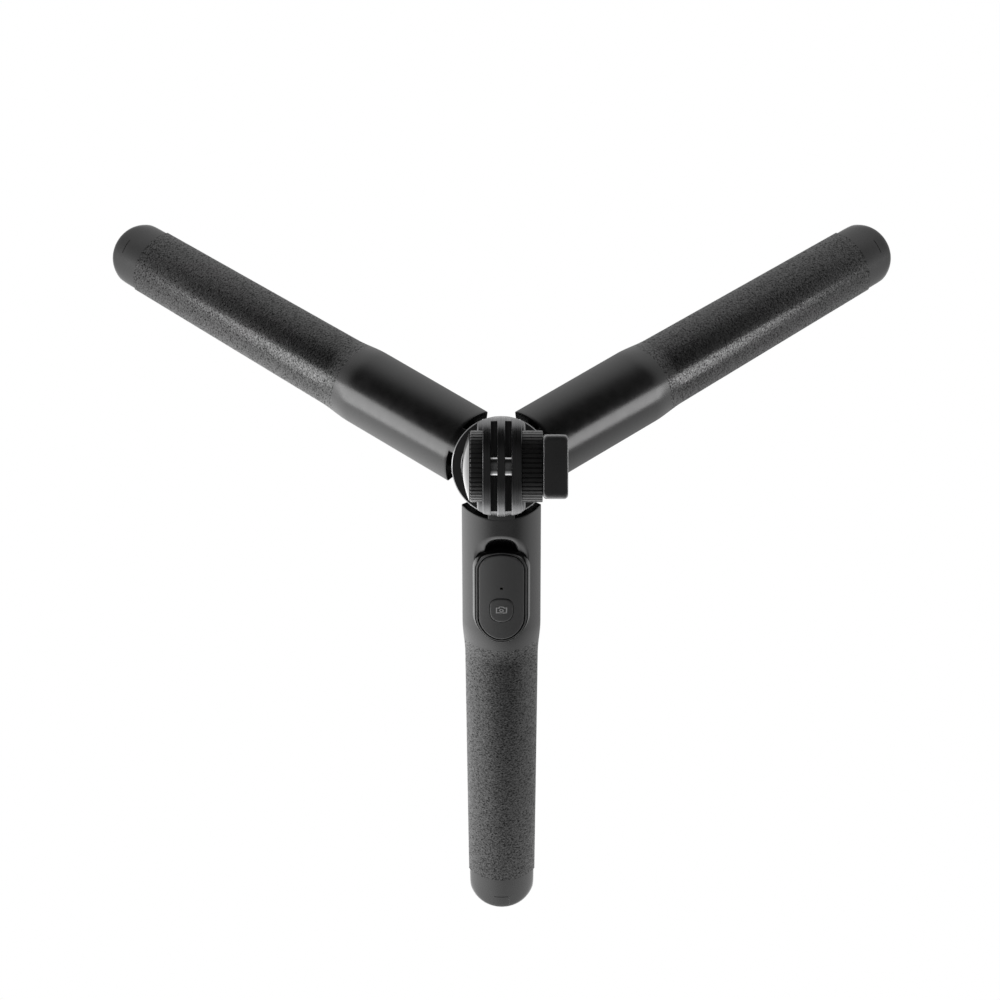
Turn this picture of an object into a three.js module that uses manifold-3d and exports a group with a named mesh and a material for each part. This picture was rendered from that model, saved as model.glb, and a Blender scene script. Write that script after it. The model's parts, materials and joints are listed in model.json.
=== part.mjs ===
// A selfie stick that stands on its own handle. The handle is split lengthwise into three legs that
// fold out from a hub, a six-stage telescopic pole rises through the hub, a pronged head carries a
// sprung phone clamp, and a remote shutter clicks into the front leg.
// Millimetres, +Z up. The origin is the middle of the flat underside of the pole's base plug, on the
// pole's axis. The front leg points along -Y. The legs stand open.

import * as THREE from 'three';
import { mergeVertices } from 'three/addons/utils/BufferGeometryUtils.js';
import Module from 'manifold-3d';

const wasm = await Module();
wasm.setup();

// ---- Driving dimensions ----

const GAP = 0.1;                    // play between pieces that fit together
const LEG_COUNT = 3;
const LEG_OPEN = Math.PI / 4;       // how far an open leg leans from the pole

// Hub: carries the three hinge pins and the pole
const PIN_Z = 167.6;                // height of the hinge pins
const PIN_RING = 13.7;              // distance of each hinge pin from the pole axis
const PIN_R = 1.5;
const PIN_HALF = 12;
const HUB_R = 19;
const HUB_BELOW_PIN = 4.5;
const HUB_ABOVE_PIN = 5.4;
const HUB_BEVEL = 2;
const CAP_H = 3.5;
const CAP_BEVEL = 0.7;
const CAP_Z = PIN_Z + HUB_ABOVE_PIN + GAP;
const SLOT_HALF = 5.45;             // half width of the slot that a leg's tongue turns in
const SLOT_FLOOR = 8.7;             // distance of the slot's floor from the pole axis
const SCREW_RING = 13.2;
const SCREW_R = 1;
const SCREW_HEAD_R = 1.8;
const SCREW_HEAD_H = 1.3;
const COUNTERBORE_R = 2;
const COUNTERBORE_H = 2;

// Legs, measured down from the pin with the leg closed against the pole
const SHOULDER = 5.1;               // where the leg's round body begins
const BODY_R = 18.43;               // outside of the closed handle
const NECK_START = 69.7;
const NECK_END = 89;
const GRIP_R = 17.3;                // at the end of the neck
const GRIP_START = 79.5;
const GRIP_END = 217;
const GRIP_END_R = 16.2;
const GRIP_WALL = 1.3;
const LEG_WALL = 1.8;
const SIDE_OFFSET = 1;              // each leg's side stands back this far from its 120 degree plane
const POLE_BORE = 9.4;              // hollow down the middle of the closed handle
const COVER_WALL = 1.4;
const HOLLOW_START = 12;
const SPIGOT = 7;                   // how far the end cap reaches into the leg
const OVERLAP = 2;                  // how far one part of a leg's shell runs on into the next
const TONGUE_HALF = 5.15;
const TONGUE_R = 4.7;
const TIP = 235;                    // end of the leg
const DOME_R = 14.6;
const DOME_CENTRE = 8;              // distance of the dome's own axis from the pole axis
const DOME_POWER = 2.8;             // roundness of the dome's outline
const FOOT_HALF = 3;
const FOOT_START = 227.4;
const FOOT_FLAT = 229;              // the level face that an open leg stands on
const FOOT_PROUD = 0.5;

// Telescopic pole
const TUBE_RADII = [7.5, 6.8, 6.1, 5.4, 4.7, 4];
const TUBE_WALL = 0.5;
const TUBE_TOP = 176.4;             // top of the fixed outer tube
const TUBE_FOOT = 3.1;
const PLUG_R = 8.8;
const PLUG_FLANGE = 3;
const PLUG_TOP = 11;
const INNER_FOOT = 13;
const INNER_TOP = 177.5;
const LAST_TOP = 186;

// Head
const YOKE_Z = 177;
const AXLE_Z = 209;                 // height of the clamp's axle, which runs along X
const YOKE_HALF = 9.1;
const YOKE_R = 18.9;
const YOKE_FOOT_R = 15.4;
const YOKE_FOOT_H = 4;
const YOKE_SHOULDER_Z = 190;        // centre of the rounded shoulders that the knobs stand over
const YOKE_SEAT_R = 7.9;            // room for the fixed tube's end
const YOKE_SEAT_H = 3.5;
const PRONG_SLOT = [1.45, 3.95];    // inner and outer side of each slot between prongs
const PRONG_DEPTH = 11;             // how far the slots reach below the axle
const AXLE_R = 3.6;
const KNOB_R = 13.5;
const KNOB_FACE = -7.4;
const KNOB_BACK = -12;
const KNOB_POCKET = -6.9;
const KNOB_DOME_R = 13;
const KNOB_TOP = -14.6;
const RING_POCKET = 7.7;
const RING_FACE = 7.8;
const RING_BACK = 15.6;
const POCKET_R = 13.8;
const WASHER_R = 9;

// Phone clamp, measured from the axle
const CLAMP_X = 15.7;
const CLAMP_WALL = 3.4;
const CLAMP_DEPTH = 9.3;
const CLAMP_HALF_W = 12;
const CLAMP_CORNER = 2.5;
const CLAMP_HALF_H = 29;
const JAW_T = 4;
const CLAMP_TOP = 24;               // top of the clamp's back
const JAW_LIP = 0.8;
const PAD_T = 0.9;
const PAD_HALF_W = 10;
const ROD_Y = 8;
const ROD_R = 0.6;
const ROD_COLLAR_R = 1.1;           // holds the spring on the rod's lower end
const ROD_COLLAR_H = 1;
const SPRING_R = 0.95;
const WIRE_R = 0.2;
const SPRING_COILS = 8;
const CHANNEL_R = 1.3;
const CHANNEL_ROOF = 2;             // closes the channel around the rod and holds the spring down
const CHANNEL_X = CLAMP_X + CLAMP_WALL / 2;
const SPRING_FOOT = ROD_COLLAR_H + WIRE_R + 2 * GAP - CLAMP_TOP;
const SPRING_LENGTH = CLAMP_TOP - CHANNEL_ROOF - WIRE_R - GAP - SPRING_FOOT;

// Remote shutter, in the front leg's own closed position
const REMOTE_START = 23.4;
const REMOTE_END = 73.2;
const REMOTE_HALF = 10;
const REMOTE_FACE_HALF = 8.7;
const REMOTE_FACE_R = 23.8;         // the face is rounded across the leg
const REMOTE_FLOOR = 12.2;          // distance of the remote's back from the pole axis
const REMOTE_SPLIT = 14.6;
const FACE_PROUD = 0.3;             // how far the face stands out of its rim
const REMOTE_TOP = 18.45;
const REMOTE_WALL = 1.2;
const ROUND_END = 12;               // length of the outline's rounded ends
const TRAY_FLOOR = 11;
const TRAY_MARGIN = 2;              // solid wall around the pocket
const SCOOP_R = 6.2;                // finger scoop at the pocket's upper end
const SCOOP_AT = 21.5;
const SCOOP_CENTRE = 18.6;          // distance of its centre from the pole axis
const BUTTON_AT = 55.5;
const BUTTON_HALF_W = 4.55;
const BUTTON_HALF_L = 6.6;
const LED_AT = 43.3;
const LED_R = 0.6;
const CELL_AT = 34.5;
const BUTTON_CORNER = 3.5;
const BUTTON_FLANGE = 0.7;
const BUTTON_BACK = 15.9;
const CELL_R = 6.25;
const CELL_H = 2;
const BOARD_RISE = 0.9;             // gap below the board, then the board itself
const BOARD_T = 0.8;
const SWITCH_R = 2.6;
const SWITCH_H = 1.2;
const REACH = 30;                   // longer than anything that is cut

// ---- Materials ----

function material(colour, roughness, metalness = 0) {
  return new THREE.MeshStandardMaterial({ color: colour, roughness, metalness });
}

const SATIN = material(0x1a1a1b, 0.35);
const GLOSSY = material(0x111112, 0.12);
const GRIP = material(0x161617, 0.6);
const DARK_METAL = material(0x2b2b2d, 0.35, 0.8);
const STEEL = material(0xb9bbbd, 0.25, 1);
const RUBBER = material(0x0d0d0d, 0.8);
const BOARD = material(0x1d4a2c, 0.5);

// ---- Shapes ----

// A closed geometry as a solid that can be joined and cut
function solid(geometry) {
  const bare = geometry.clone();
  bare.deleteAttribute('normal');
  bare.deleteAttribute('uv');
  const merged = mergeVertices(bare);
  const index = merged.getIndex().array;
  const triangles = [];
  for (let i = 0; i < index.length; i += 3) {
    const [a, b, c] = index.slice(i, i + 3);
    if (a !== b && b !== c && c !== a) triangles.push(a, b, c);
  }
  return new wasm.Manifold(new wasm.Mesh({
    numProp: 3,
    vertProperties: new Float32Array(merged.getAttribute('position').array),
    triVerts: new Uint32Array(triangles),
  }));
}

function mesh(name, body, finish) {
  const { vertProperties, triVerts } = body.getMesh();
  const geometry = new THREE.BufferGeometry();
  geometry.setAttribute('position', new THREE.BufferAttribute(vertProperties, 3));
  geometry.setIndex(new THREE.BufferAttribute(triVerts, 1));
  geometry.computeVertexNormals();
  const result = new THREE.Mesh(geometry, finish);
  result.name = name;
  return result;
}

function block([x0, y0, z0], [x1, y1, z1]) {
  const box = new THREE.BoxGeometry(x1 - x0, y1 - y0, z1 - z0);
  return solid(box.translate((x0 + x1) / 2, (y0 + y1) / 2, (z0 + z1) / 2));
}

// A body turned about Z. The outline is [radius, z] pairs from its lowest point on the axis to its
// highest, or a ring that closes on itself, anticlockwise.
function turnedGeometry(outline, segments) {
  const points = outline.map(([r, z]) => new THREE.Vector2(r, z));
  return new THREE.LatheGeometry(points, segments).rotateX(Math.PI / 2);
}

function turned(outline, segments = 36) {
  return solid(turnedGeometry(outline, segments));
}

function disc(radius, z0, z1, segments = 36) {
  return turned([[0, z0], [radius, z0], [radius, z1], [0, z1]], segments);
}

// A round bar along X, through the point y, z
function barX(radius, x0, x1, y, z, segments = 24) {
  const bar = new THREE.CylinderGeometry(radius, radius, x1 - x0, segments);
  return solid(bar.rotateZ(Math.PI / 2).translate((x0 + x1) / 2, y, z));
}

// The outline is [radius, x] pairs, turned about X at the axle's height
function turnedOnAxle(outline, segments = 36) {
  return solid(turnedGeometry(outline, segments).rotateY(Math.PI / 2).translate(0, 0, AXLE_Z));
}

function postZ(radius, x, y, z0, z1, segments = 8) {
  const post = new THREE.CylinderGeometry(radius, radius, z1 - z0, segments);
  return solid(post.rotateX(Math.PI / 2).translate(x, y, (z0 + z1) / 2));
}

function prism(shape, z0, z1, curveSegments = 6) {
  const extrusion = new THREE.ExtrudeGeometry(shape, { depth: z1 - z0, bevelEnabled: false, curveSegments });
  return extrusion.translate(0, 0, z0);
}

function roundedRectangle(x0, y0, x1, y1, corner) {
  const shape = new THREE.Shape();
  shape.moveTo(x0 + corner, y0);
  shape.lineTo(x1 - corner, y0);
  shape.absarc(x1 - corner, y0 + corner, corner, -Math.PI / 2, 0);
  shape.lineTo(x1, y1 - corner);
  shape.absarc(x1 - corner, y1 - corner, corner, 0, Math.PI / 2);
  shape.lineTo(x0 + corner, y1);
  shape.absarc(x0 + corner, y1 - corner, corner, Math.PI / 2, Math.PI);
  shape.lineTo(x0, y0 + corner);
  shape.absarc(x0 + corner, y0 + corner, corner, Math.PI, Math.PI * 1.5);
  return shape;
}

// ---- Hub ----

function hub() {
  const bottom = PIN_Z - HUB_BELOW_PIN;
  const top = PIN_Z + HUB_ABOVE_PIN;
  let body = turned([
    [0, bottom],
    [HUB_R - HUB_BEVEL, bottom],
    [HUB_R, bottom + HUB_BEVEL],
    [HUB_R, top],
    [0, top],
  ]).subtract(disc(TUBE_RADII[0] + 1.5 * GAP, bottom - 1, top + 1, 24));
  for (let i = 0; i < LEG_COUNT; i++) {
    const angle = legAngle(i);
    const slot = new THREE.BoxGeometry(2 * SLOT_HALF, HUB_R, 20);
    slot.translate(0, -SLOT_FLOOR - HUB_R / 2, PIN_Z).rotateZ(angle);
    body = body.subtract(solid(slot));
    const bore = new THREE.CylinderGeometry(PIN_R + GAP, PIN_R + GAP, 2 * (PIN_HALF + 0.2), 16);
    bore.rotateZ(Math.PI / 2).translate(0, -PIN_RING, PIN_Z).rotateZ(angle);
    body = body.subtract(solid(bore));
    const screw = screwPlace(i);
    body = body.subtract(postZ(SCREW_R + GAP, screw.x, screw.y, bottom - 1, top + 1));
    body = body.subtract(postZ(COUNTERBORE_R, screw.x, screw.y, bottom - 1, bottom + COUNTERBORE_H));
  }
  return mesh('hub', body, SATIN);
}

function legAngle(i) {
  return (i * 2 * Math.PI) / LEG_COUNT;
}

// The screws sit between the legs
function screwPlace(i) {
  const angle = legAngle(i) - Math.PI / 6;
  return new THREE.Vector2(Math.cos(angle) * SCREW_RING, Math.sin(angle) * SCREW_RING);
}

function hubCap() {
  const top = CAP_Z + CAP_H;
  const bore = TUBE_RADII[0] + 1.5 * GAP;
  let body = turned([
    [bore, CAP_Z],
    [HUB_R, CAP_Z],
    [HUB_R, top - CAP_BEVEL],
    [HUB_R - CAP_BEVEL, top],
    [bore, top],
    [bore, CAP_Z],
  ]);
  for (let i = 0; i < LEG_COUNT; i++) {
    const screw = screwPlace(i);
    body = body.subtract(postZ(SCREW_R + GAP, screw.x, screw.y, CAP_Z - 1, CAP_Z + 2.2));
  }
  return mesh('hub_cap', body, GLOSSY);
}

function hubScrew(i) {
  const { x, y } = screwPlace(i);
  const bottom = PIN_Z - HUB_BELOW_PIN + 0.6;
  const head = postZ(SCREW_HEAD_R, x, y, bottom, bottom + SCREW_HEAD_H);
  const shank = postZ(SCREW_R, x, y, bottom + 1, CAP_Z + 2);
  return mesh(`hub_screw_${i + 1}`, head.add(shank), STEEL);
}

function hingePin(i) {
  const pin = new THREE.CylinderGeometry(PIN_R, PIN_R, 2 * PIN_HALF, 16).rotateZ(Math.PI / 2);
  const result = mesh(`hinge_pin_${i + 1}`, solid(pin), STEEL);
  result.position.set(0, -PIN_RING, PIN_Z);
  return result;
}

// ---- Legs, built closed: the pole axis is Z, the pin is at z = 0 and the leg hangs below it ----

function smoothStep(t) {
  return t * t * (3 - 2 * t);
}

function outerRadius(d) {
  if (d <= NECK_START) return BODY_R;
  if (d <= NECK_END) {
    return BODY_R + (GRIP_R - BODY_R) * smoothStep((d - NECK_START) / (NECK_END - NECK_START));
  }
  return GRIP_R + ((GRIP_END_R - GRIP_R) * (d - NECK_END)) / (GRIP_END - NECK_END);
}

// Every distance down the leg where the outline bends, between two ends
function stations(start, end) {
  const list = [start];
  for (let i = 0; i <= 4; i++) {
    const d = NECK_START + ((NECK_END - NECK_START) * i) / 4;
    if (d > start + 1 && d < end - 1) list.push(d);
  }
  return [...list, end];
}

// The side of the handle between two distances, inset by some thickness, as [radius, z] from the
// bottom up
function sideOutline(start, end, inset) {
  return stations(start, end).reverse().map((d) => [outerRadius(d) - inset, -d]);
}

function handlePiece(start, end, inset) {
  const side = sideOutline(start, end, inset);
  return turned([[0, -end], ...side, [0, -start]]);
}

// One leg's share of the closed handle: the space between its two side planes
function legWedge(offset, start, end) {
  const spread = Math.PI / 3;
  const reach = 1.5 * REACH;
  const apex = -offset / Math.sin(spread);
  const shape = new THREE.Shape();
  shape.moveTo(0, apex);
  shape.lineTo(-Math.sin(spread) * reach, apex - Math.cos(spread) * reach);
  shape.lineTo(Math.sin(spread) * reach, apex - Math.cos(spread) * reach);
  return solid(prism(shape, -end, -start));
}

function tongue() {
  const round = barX(TONGUE_R, -TONGUE_HALF, TONGUE_HALF, -PIN_RING, 0);
  const root = block(
    [-TONGUE_HALF, -PIN_RING - TONGUE_R, -SHOULDER - OVERLAP],
    [TONGUE_HALF, -PIN_RING + TONGUE_R - 0.6, 0],
  );
  const bore = barX(PIN_R + 1.5 * GAP, -TONGUE_HALF - 1, TONGUE_HALF + 1, -PIN_RING, 0, 16);
  return round.add(root).subtract(bore);
}

function legShell(i) {
  const bare = handlePiece(SHOULDER, GRIP_START - GAP, 0)
    .add(handlePiece(GRIP_START - OVERLAP, GRIP_END, GRIP_WALL + GAP));
  let body = bare.intersect(legWedge(SIDE_OFFSET, 0, TIP))
    .subtract(disc(POLE_BORE, -TIP, 0));
  const hollow = handlePiece(HOLLOW_START, GRIP_START - 2 * OVERLAP, LEG_WALL)
    .add(handlePiece(GRIP_START - 3 * OVERLAP, GRIP_END + 1, GRIP_WALL + LEG_WALL));
  body = body.subtract(hollow.intersect(legWedge(SIDE_OFFSET + LEG_WALL, 0, TIP))).add(tongue());
  if (i === 0) {
    body = body.add(remoteTray()).subtract(remotePocket());
  }
  return mesh(`leg_shell_${i + 1}`, body, SATIN);
}

function legCover(i) {
  const start = HOLLOW_START + 3 * GAP;
  const end = GRIP_END - SPIGOT - 1;
  const body = disc(POLE_BORE + COVER_WALL, -end, -start)
    .subtract(disc(POLE_BORE, -TIP, 0))
    .intersect(legWedge(SIDE_OFFSET + LEG_WALL + GAP, 0, TIP));
  return mesh(`leg_cover_${i + 1}`, body, SATIN);
}

function grip(i) {
  const outside = sideOutline(GRIP_START, GRIP_END, 0);
  const inside = sideOutline(GRIP_START, GRIP_END, GRIP_WALL).reverse();
  const body = turned([...outside, ...inside, outside[0]])
    .intersect(legWedge(SIDE_OFFSET, 0, TIP));
  return mesh(`grip_${i + 1}`, body, GRIP);
}

// The rounded end that the three closed legs share, about an axis inside this leg's third
function tipDome() {
  const start = GRIP_END + GAP;
  const steps = 7;
  const side = [];
  for (let k = 1; k <= steps; k++) {
    const t = Math.sin((k / steps) * Math.PI / 2);
    side.push([DOME_R * (1 - t ** DOME_POWER) ** (1 / DOME_POWER), start + (TIP - start) * t]);
  }
  const outline = [[0, -TIP], ...side.slice(0, -1).reverse().map(([r, d]) => [r, -d])];
  const dome = turnedGeometry([...outline, [DOME_R, -start], [0, -start]], 30);
  return solid(dome.translate(0, -DOME_CENTRE, 0))
    .intersect(legWedge(SIDE_OFFSET, 0, TIP + 1))
    .intersect(disc(GRIP_END_R, -TIP - 1, -start));
}

// What lies beyond the level face that an open leg stands on
function belowFoot(level) {
  const slab = new THREE.BoxGeometry(2 * REACH, 2 * REACH, REACH).translate(0, 0, -REACH / 2);
  slab.rotateX(LEG_OPEN).translate(0, 0, -level);
  return solid(slab);
}

function endCap(i) {
  const footSpace = block(
    [-FOOT_HALF - GAP, -REACH, -TIP - 1],
    [FOOT_HALF + GAP, REACH, -FOOT_START],
  );
  const spigot = handlePiece(GRIP_END - SPIGOT, GRIP_END + 1, GRIP_WALL + LEG_WALL + GAP)
    .intersect(legWedge(SIDE_OFFSET + LEG_WALL + GAP, 0, TIP))
    .subtract(disc(POLE_BORE, -TIP, 0));
  const body = tipDome().subtract(footSpace).subtract(belowFoot(FOOT_FLAT - FOOT_PROUD)).add(spigot);
  return mesh(`end_cap_${i + 1}`, body, SATIN);
}

function foot(i) {
  const band = block([-FOOT_HALF, -REACH, -TIP - 1], [FOOT_HALF, REACH, -FOOT_START - GAP]);
  const body = tipDome().intersect(band).subtract(belowFoot(FOOT_FLAT));
  return mesh(`foot_${i + 1}`, body, RUBBER);
}

function openLeg(i, pieces) {
  const hinge = new THREE.Group();
  hinge.position.set(0, -PIN_RING, PIN_Z);
  hinge.rotation.x = -LEG_OPEN;
  for (const piece of pieces) {
    piece.position.y += PIN_RING;
    hinge.add(piece);
  }
  const leg = new THREE.Group();
  leg.rotation.z = legAngle(i);
  leg.add(hinge, hingePin(i));
  return leg;
}

// ---- Remote shutter, drawn flat in x and distance down the leg, then stood on the leg's front ----

function pill(halfWidth, start, end, roundEnd) {
  const shape = new THREE.Shape();
  shape.moveTo(-halfWidth, start + roundEnd);
  shape.absellipse(0, start + roundEnd, halfWidth, roundEnd, Math.PI, 2 * Math.PI);
  shape.lineTo(halfWidth, end - roundEnd);
  shape.absellipse(0, end - roundEnd, halfWidth, roundEnd, 0, Math.PI);
  return shape;
}

// A flat shape raised between two distances from the pole axis, on the front of the closed leg
function raised(shape, low, high, curveSegments = 8) {
  return solid(prism(shape, low, high, curveSegments).rotateX(Math.PI / 2).rotateY(Math.PI));
}

function remoteOutline(inset, halfWidth = REMOTE_HALF) {
  return pill(halfWidth - inset, REMOTE_START + inset, REMOTE_END - inset, ROUND_END);
}

function remoteTray() {
  const half = REMOTE_HALF + TRAY_MARGIN;
  const tray = block([-half, -REACH, -REMOTE_END - 2 * TRAY_MARGIN], [half, -TRAY_FLOOR, -HOLLOW_START + TRAY_MARGIN]);
  return tray.intersect(handlePiece(SHOULDER, NECK_END, 0));
}

function remotePocket() {
  const pocket = raised(remoteOutline(-3 * GAP), TRAY_FLOOR + 1, REACH);
  const scoop = new THREE.SphereGeometry(SCOOP_R, 16, 10).translate(0, -SCOOP_CENTRE, -SCOOP_AT);
  return pocket.add(solid(scoop));
}

function remoteCase() {
  const inside = raised(remoteOutline(REMOTE_WALL), REMOTE_FLOOR + 0.8, REMOTE_SPLIT + 1);
  const body = raised(remoteOutline(0), REMOTE_FLOOR, REMOTE_SPLIT).subtract(inside);
  return mesh('remote_case', body, SATIN);
}

function buttonOutline(grow) {
  const halfWidth = BUTTON_HALF_W + grow;
  const start = BUTTON_AT - BUTTON_HALF_L - grow;
  const end = BUTTON_AT + BUTTON_HALF_L + grow;
  return roundedRectangle(-halfWidth, start, halfWidth, end, BUTTON_CORNER);
}

// A round bar down the leg whose outside is the remote's rounded face, moved out by some distance
function faceRound(proud) {
  return disc(REMOTE_FACE_R + proud, -REMOTE_END - 1, 1 - REMOTE_START, 60)
    .translate([0, REMOTE_FACE_R - REMOTE_TOP, 0]);
}

function remoteCover() {
  const low = REMOTE_SPLIT + GAP;
  const inside = raised(remoteOutline(REMOTE_WALL + 0.6), low - 1, REMOTE_TOP)
    .intersect(faceRound(-REMOTE_WALL));
  const body = raised(remoteOutline(0), low, REMOTE_TOP).intersect(faceRound(-FACE_PROUD))
    .add(raised(remoteOutline(REMOTE_HALF - REMOTE_FACE_HALF), low, REMOTE_TOP).intersect(faceRound(0)))
    .subtract(inside)
    .subtract(raised(buttonOutline(GAP), low - 1, REMOTE_TOP + 1, 4))
    .subtract(raised(circle(LED_R + GAP, LED_AT), low - 1, REMOTE_TOP + 1, 6));
  return mesh('remote_cover', body, SATIN);
}

function circle(radius, at) {
  const shape = new THREE.Shape();
  shape.absarc(0, at, radius, 0, 2 * Math.PI);
  return shape;
}

function remoteInsides() {
  const board = REMOTE_FLOOR + BOARD_RISE;
  const boardTop = board + BOARD_T;
  const seat = boardTop + GAP;
  const flange = raised(buttonOutline(BUTTON_FLANGE), BUTTON_BACK, BUTTON_BACK + 0.6, 4);
  const button = raised(buttonOutline(0), BUTTON_BACK, REMOTE_TOP + 1, 4).intersect(faceRound(GAP)).add(flange);
  return {
    board: mesh('remote_board', raised(remoteOutline(REMOTE_WALL + 0.3), board, boardTop, 8), BOARD),
    cell: mesh('remote_cell', raised(circle(CELL_R, CELL_AT), seat, seat + CELL_H, 12), STEEL),
    led: mesh('remote_led', raised(circle(LED_R, LED_AT), seat, REMOTE_TOP, 6), GLOSSY),
    key: mesh('shutter_switch', raised(circle(SWITCH_R, BUTTON_AT), seat, seat + SWITCH_H, 8), STEEL),
    button: mesh('shutter_button', button, SATIN),
  };
}

// ---- Telescopic pole ----

function tube(k) {
  const outer = TUBE_RADII[k];
  const inner = outer - TUBE_WALL;
  const fixed = k === 0;
  const last = k === TUBE_RADII.length - 1;
  const bottom = fixed ? TUBE_FOOT : INNER_FOOT + k - 1;
  const innerTop = last ? LAST_TOP : INNER_TOP + k - 1;
  const top = fixed ? TUBE_TOP : innerTop;
  const ring = turned([[inner, bottom], [outer, bottom], [outer, top], [inner, top], [inner, bottom]], 24);
  return mesh(`tube_${k + 1}`, ring, STEEL);
}

function polePlug() {
  const spigot = TUBE_RADII[0] - TUBE_WALL - GAP;
  const body = turned([
    [0, 0],
    [PLUG_R - 0.5, 0],
    [PLUG_R, 0.5],
    [PLUG_R, PLUG_FLANGE],
    [spigot, PLUG_FLANGE],
    [spigot, PLUG_TOP],
    [0, PLUG_TOP],
  ], 24);
  return mesh('pole_plug', body, SATIN);
}

// ---- Head ----

// Room for a knob beside the prongs, open to the top
function sidePocket(x0, x1) {
  return barX(POCKET_R, x0, x1, 0, AXLE_Z, 36)
    .add(block([x0, -POCKET_R, AXLE_Z], [x1, POCKET_R, AXLE_Z + REACH]));
}

// Upright sides with a round top about the given height
function yokeSlab(x0, x1, centre) {
  return block([x0, -REACH, YOKE_Z], [x1, REACH, centre]).add(barX(YOKE_R, x0, x1, 0, centre, 40));
}

function yoke() {
  const column = disc(YOKE_R, YOKE_Z, AXLE_Z + YOKE_R + 1, 48);
  const slab = yokeSlab(-YOKE_HALF, YOKE_HALF, YOKE_SHOULDER_Z).add(yokeSlab(KNOB_POCKET, RING_POCKET, AXLE_Z));
  let body = column.intersect(slab).add(disc(YOKE_FOOT_R, YOKE_Z, YOKE_Z + YOKE_FOOT_H));
  const [near, far] = PRONG_SLOT;
  for (const side of [-1, 1]) {
    const xs = [side * near, side * far].sort((a, b) => a - b);
    body = body.subtract(block([xs[0], -REACH, AXLE_Z - PRONG_DEPTH], [xs[1], REACH, AXLE_Z + REACH]));
  }
  body = body
    .subtract(barX(AXLE_R + 1.5 * GAP, -REACH, REACH, 0, AXLE_Z))
    .subtract(sidePocket(-REACH, KNOB_POCKET))
    .subtract(sidePocket(RING_POCKET, REACH))
    .subtract(disc(YOKE_SEAT_R, YOKE_Z - 1, YOKE_Z + YOKE_SEAT_H + 1, 24))
    .subtract(disc(TUBE_RADII[5] + 1.5 * GAP, YOKE_Z, LAST_TOP + 1, 24));
  return mesh('yoke', body, DARK_METAL);
}

function axle() {
  return mesh('clamp_axle', barX(AXLE_R, KNOB_BACK + 0.8, RING_BACK - 0.3, 0, AXLE_Z), STEEL);
}

function frictionWasher() {
  const bore = AXLE_R + 2 * GAP;
  const near = KNOB_POCKET - GAP / 2;
  const far = KNOB_FACE + GAP / 2;
  const body = turnedOnAxle([[bore, far], [WASHER_R, far], [WASHER_R, near], [bore, near], [bore, far]], 24);
  return mesh('friction_washer', body, STEEL);
}

function tensionKnob() {
  const bore = AXLE_R + 1.5 * GAP;
  const body = turnedOnAxle([
    [0, KNOB_BACK],
    [KNOB_R - 0.5, KNOB_BACK],
    [KNOB_R, KNOB_BACK + 0.5],
    [KNOB_R, KNOB_FACE - 0.5],
    [KNOB_R - 0.5, KNOB_FACE],
    [bore, KNOB_FACE],
    [bore, KNOB_BACK + 0.5],
    [0, KNOB_BACK + 0.5],
  ]);
  return mesh('tension_knob', body, SATIN);
}

function knobCap() {
  const base = KNOB_BACK - 0.05;
  const side = [];
  for (let k = 0; k < 4; k++) {
    const t = (k / 4) * Math.PI / 2;
    side.push([KNOB_DOME_R * Math.sin(t), KNOB_TOP + (base - KNOB_TOP) * (1 - Math.cos(t))]);
  }
  const body = turnedOnAxle([...side, [KNOB_DOME_R, base], [0, base]]);
  return mesh('knob_cap', body, GLOSSY);
}

function clampRing() {
  const bore = AXLE_R + 1.5 * GAP;
  const body = turnedOnAxle([
    [bore, RING_FACE],
    [KNOB_R - 0.5, RING_FACE],
    [KNOB_R, RING_FACE + 0.5],
    [KNOB_R, RING_BACK - 0.5],
    [KNOB_R - 0.5, RING_BACK],
    [bore, RING_BACK],
    [bore, RING_FACE],
  ]);
  return mesh('clamp_ring', body, SATIN);
}

// ---- Phone clamp ----

function clampSlab(xEnd, z0, z1) {
  const halfW = CLAMP_HALF_W;
  const outline = roundedRectangle(CLAMP_X, -halfW, xEnd, halfW, Math.min(CLAMP_CORNER, (xEnd - CLAMP_X) / 2.2));
  return solid(prism(outline, AXLE_Z + z0, AXLE_Z + z1, 5));
}

function clampBack() {
  const jawEnd = CLAMP_X + CLAMP_DEPTH;
  const jawTop = JAW_T - CLAMP_HALF_H;
  let body = clampSlab(CLAMP_X + CLAMP_WALL, -CLAMP_HALF_H + 1, CLAMP_TOP)
    .add(clampSlab(jawEnd, -CLAMP_HALF_H, jawTop))
    .add(block(
      [jawEnd - JAW_LIP, -CLAMP_HALF_W + CLAMP_CORNER, AXLE_Z + jawTop - 1],
      [jawEnd, CLAMP_HALF_W - CLAMP_CORNER, AXLE_Z + jawTop + PAD_T + JAW_LIP],
    ));
  const roof = AXLE_Z + CLAMP_TOP - CHANNEL_ROOF;
  for (const side of [-1, 1]) {
    const y = side * ROD_Y;
    body = body.subtract(postZ(CHANNEL_R, CHANNEL_X, y, AXLE_Z + jawTop, roof))
      .subtract(postZ(ROD_R + 2 * GAP, CHANNEL_X, y, roof - 1, AXLE_Z + REACH));
  }
  return mesh('clamp_back', body, SATIN);
}

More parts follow.
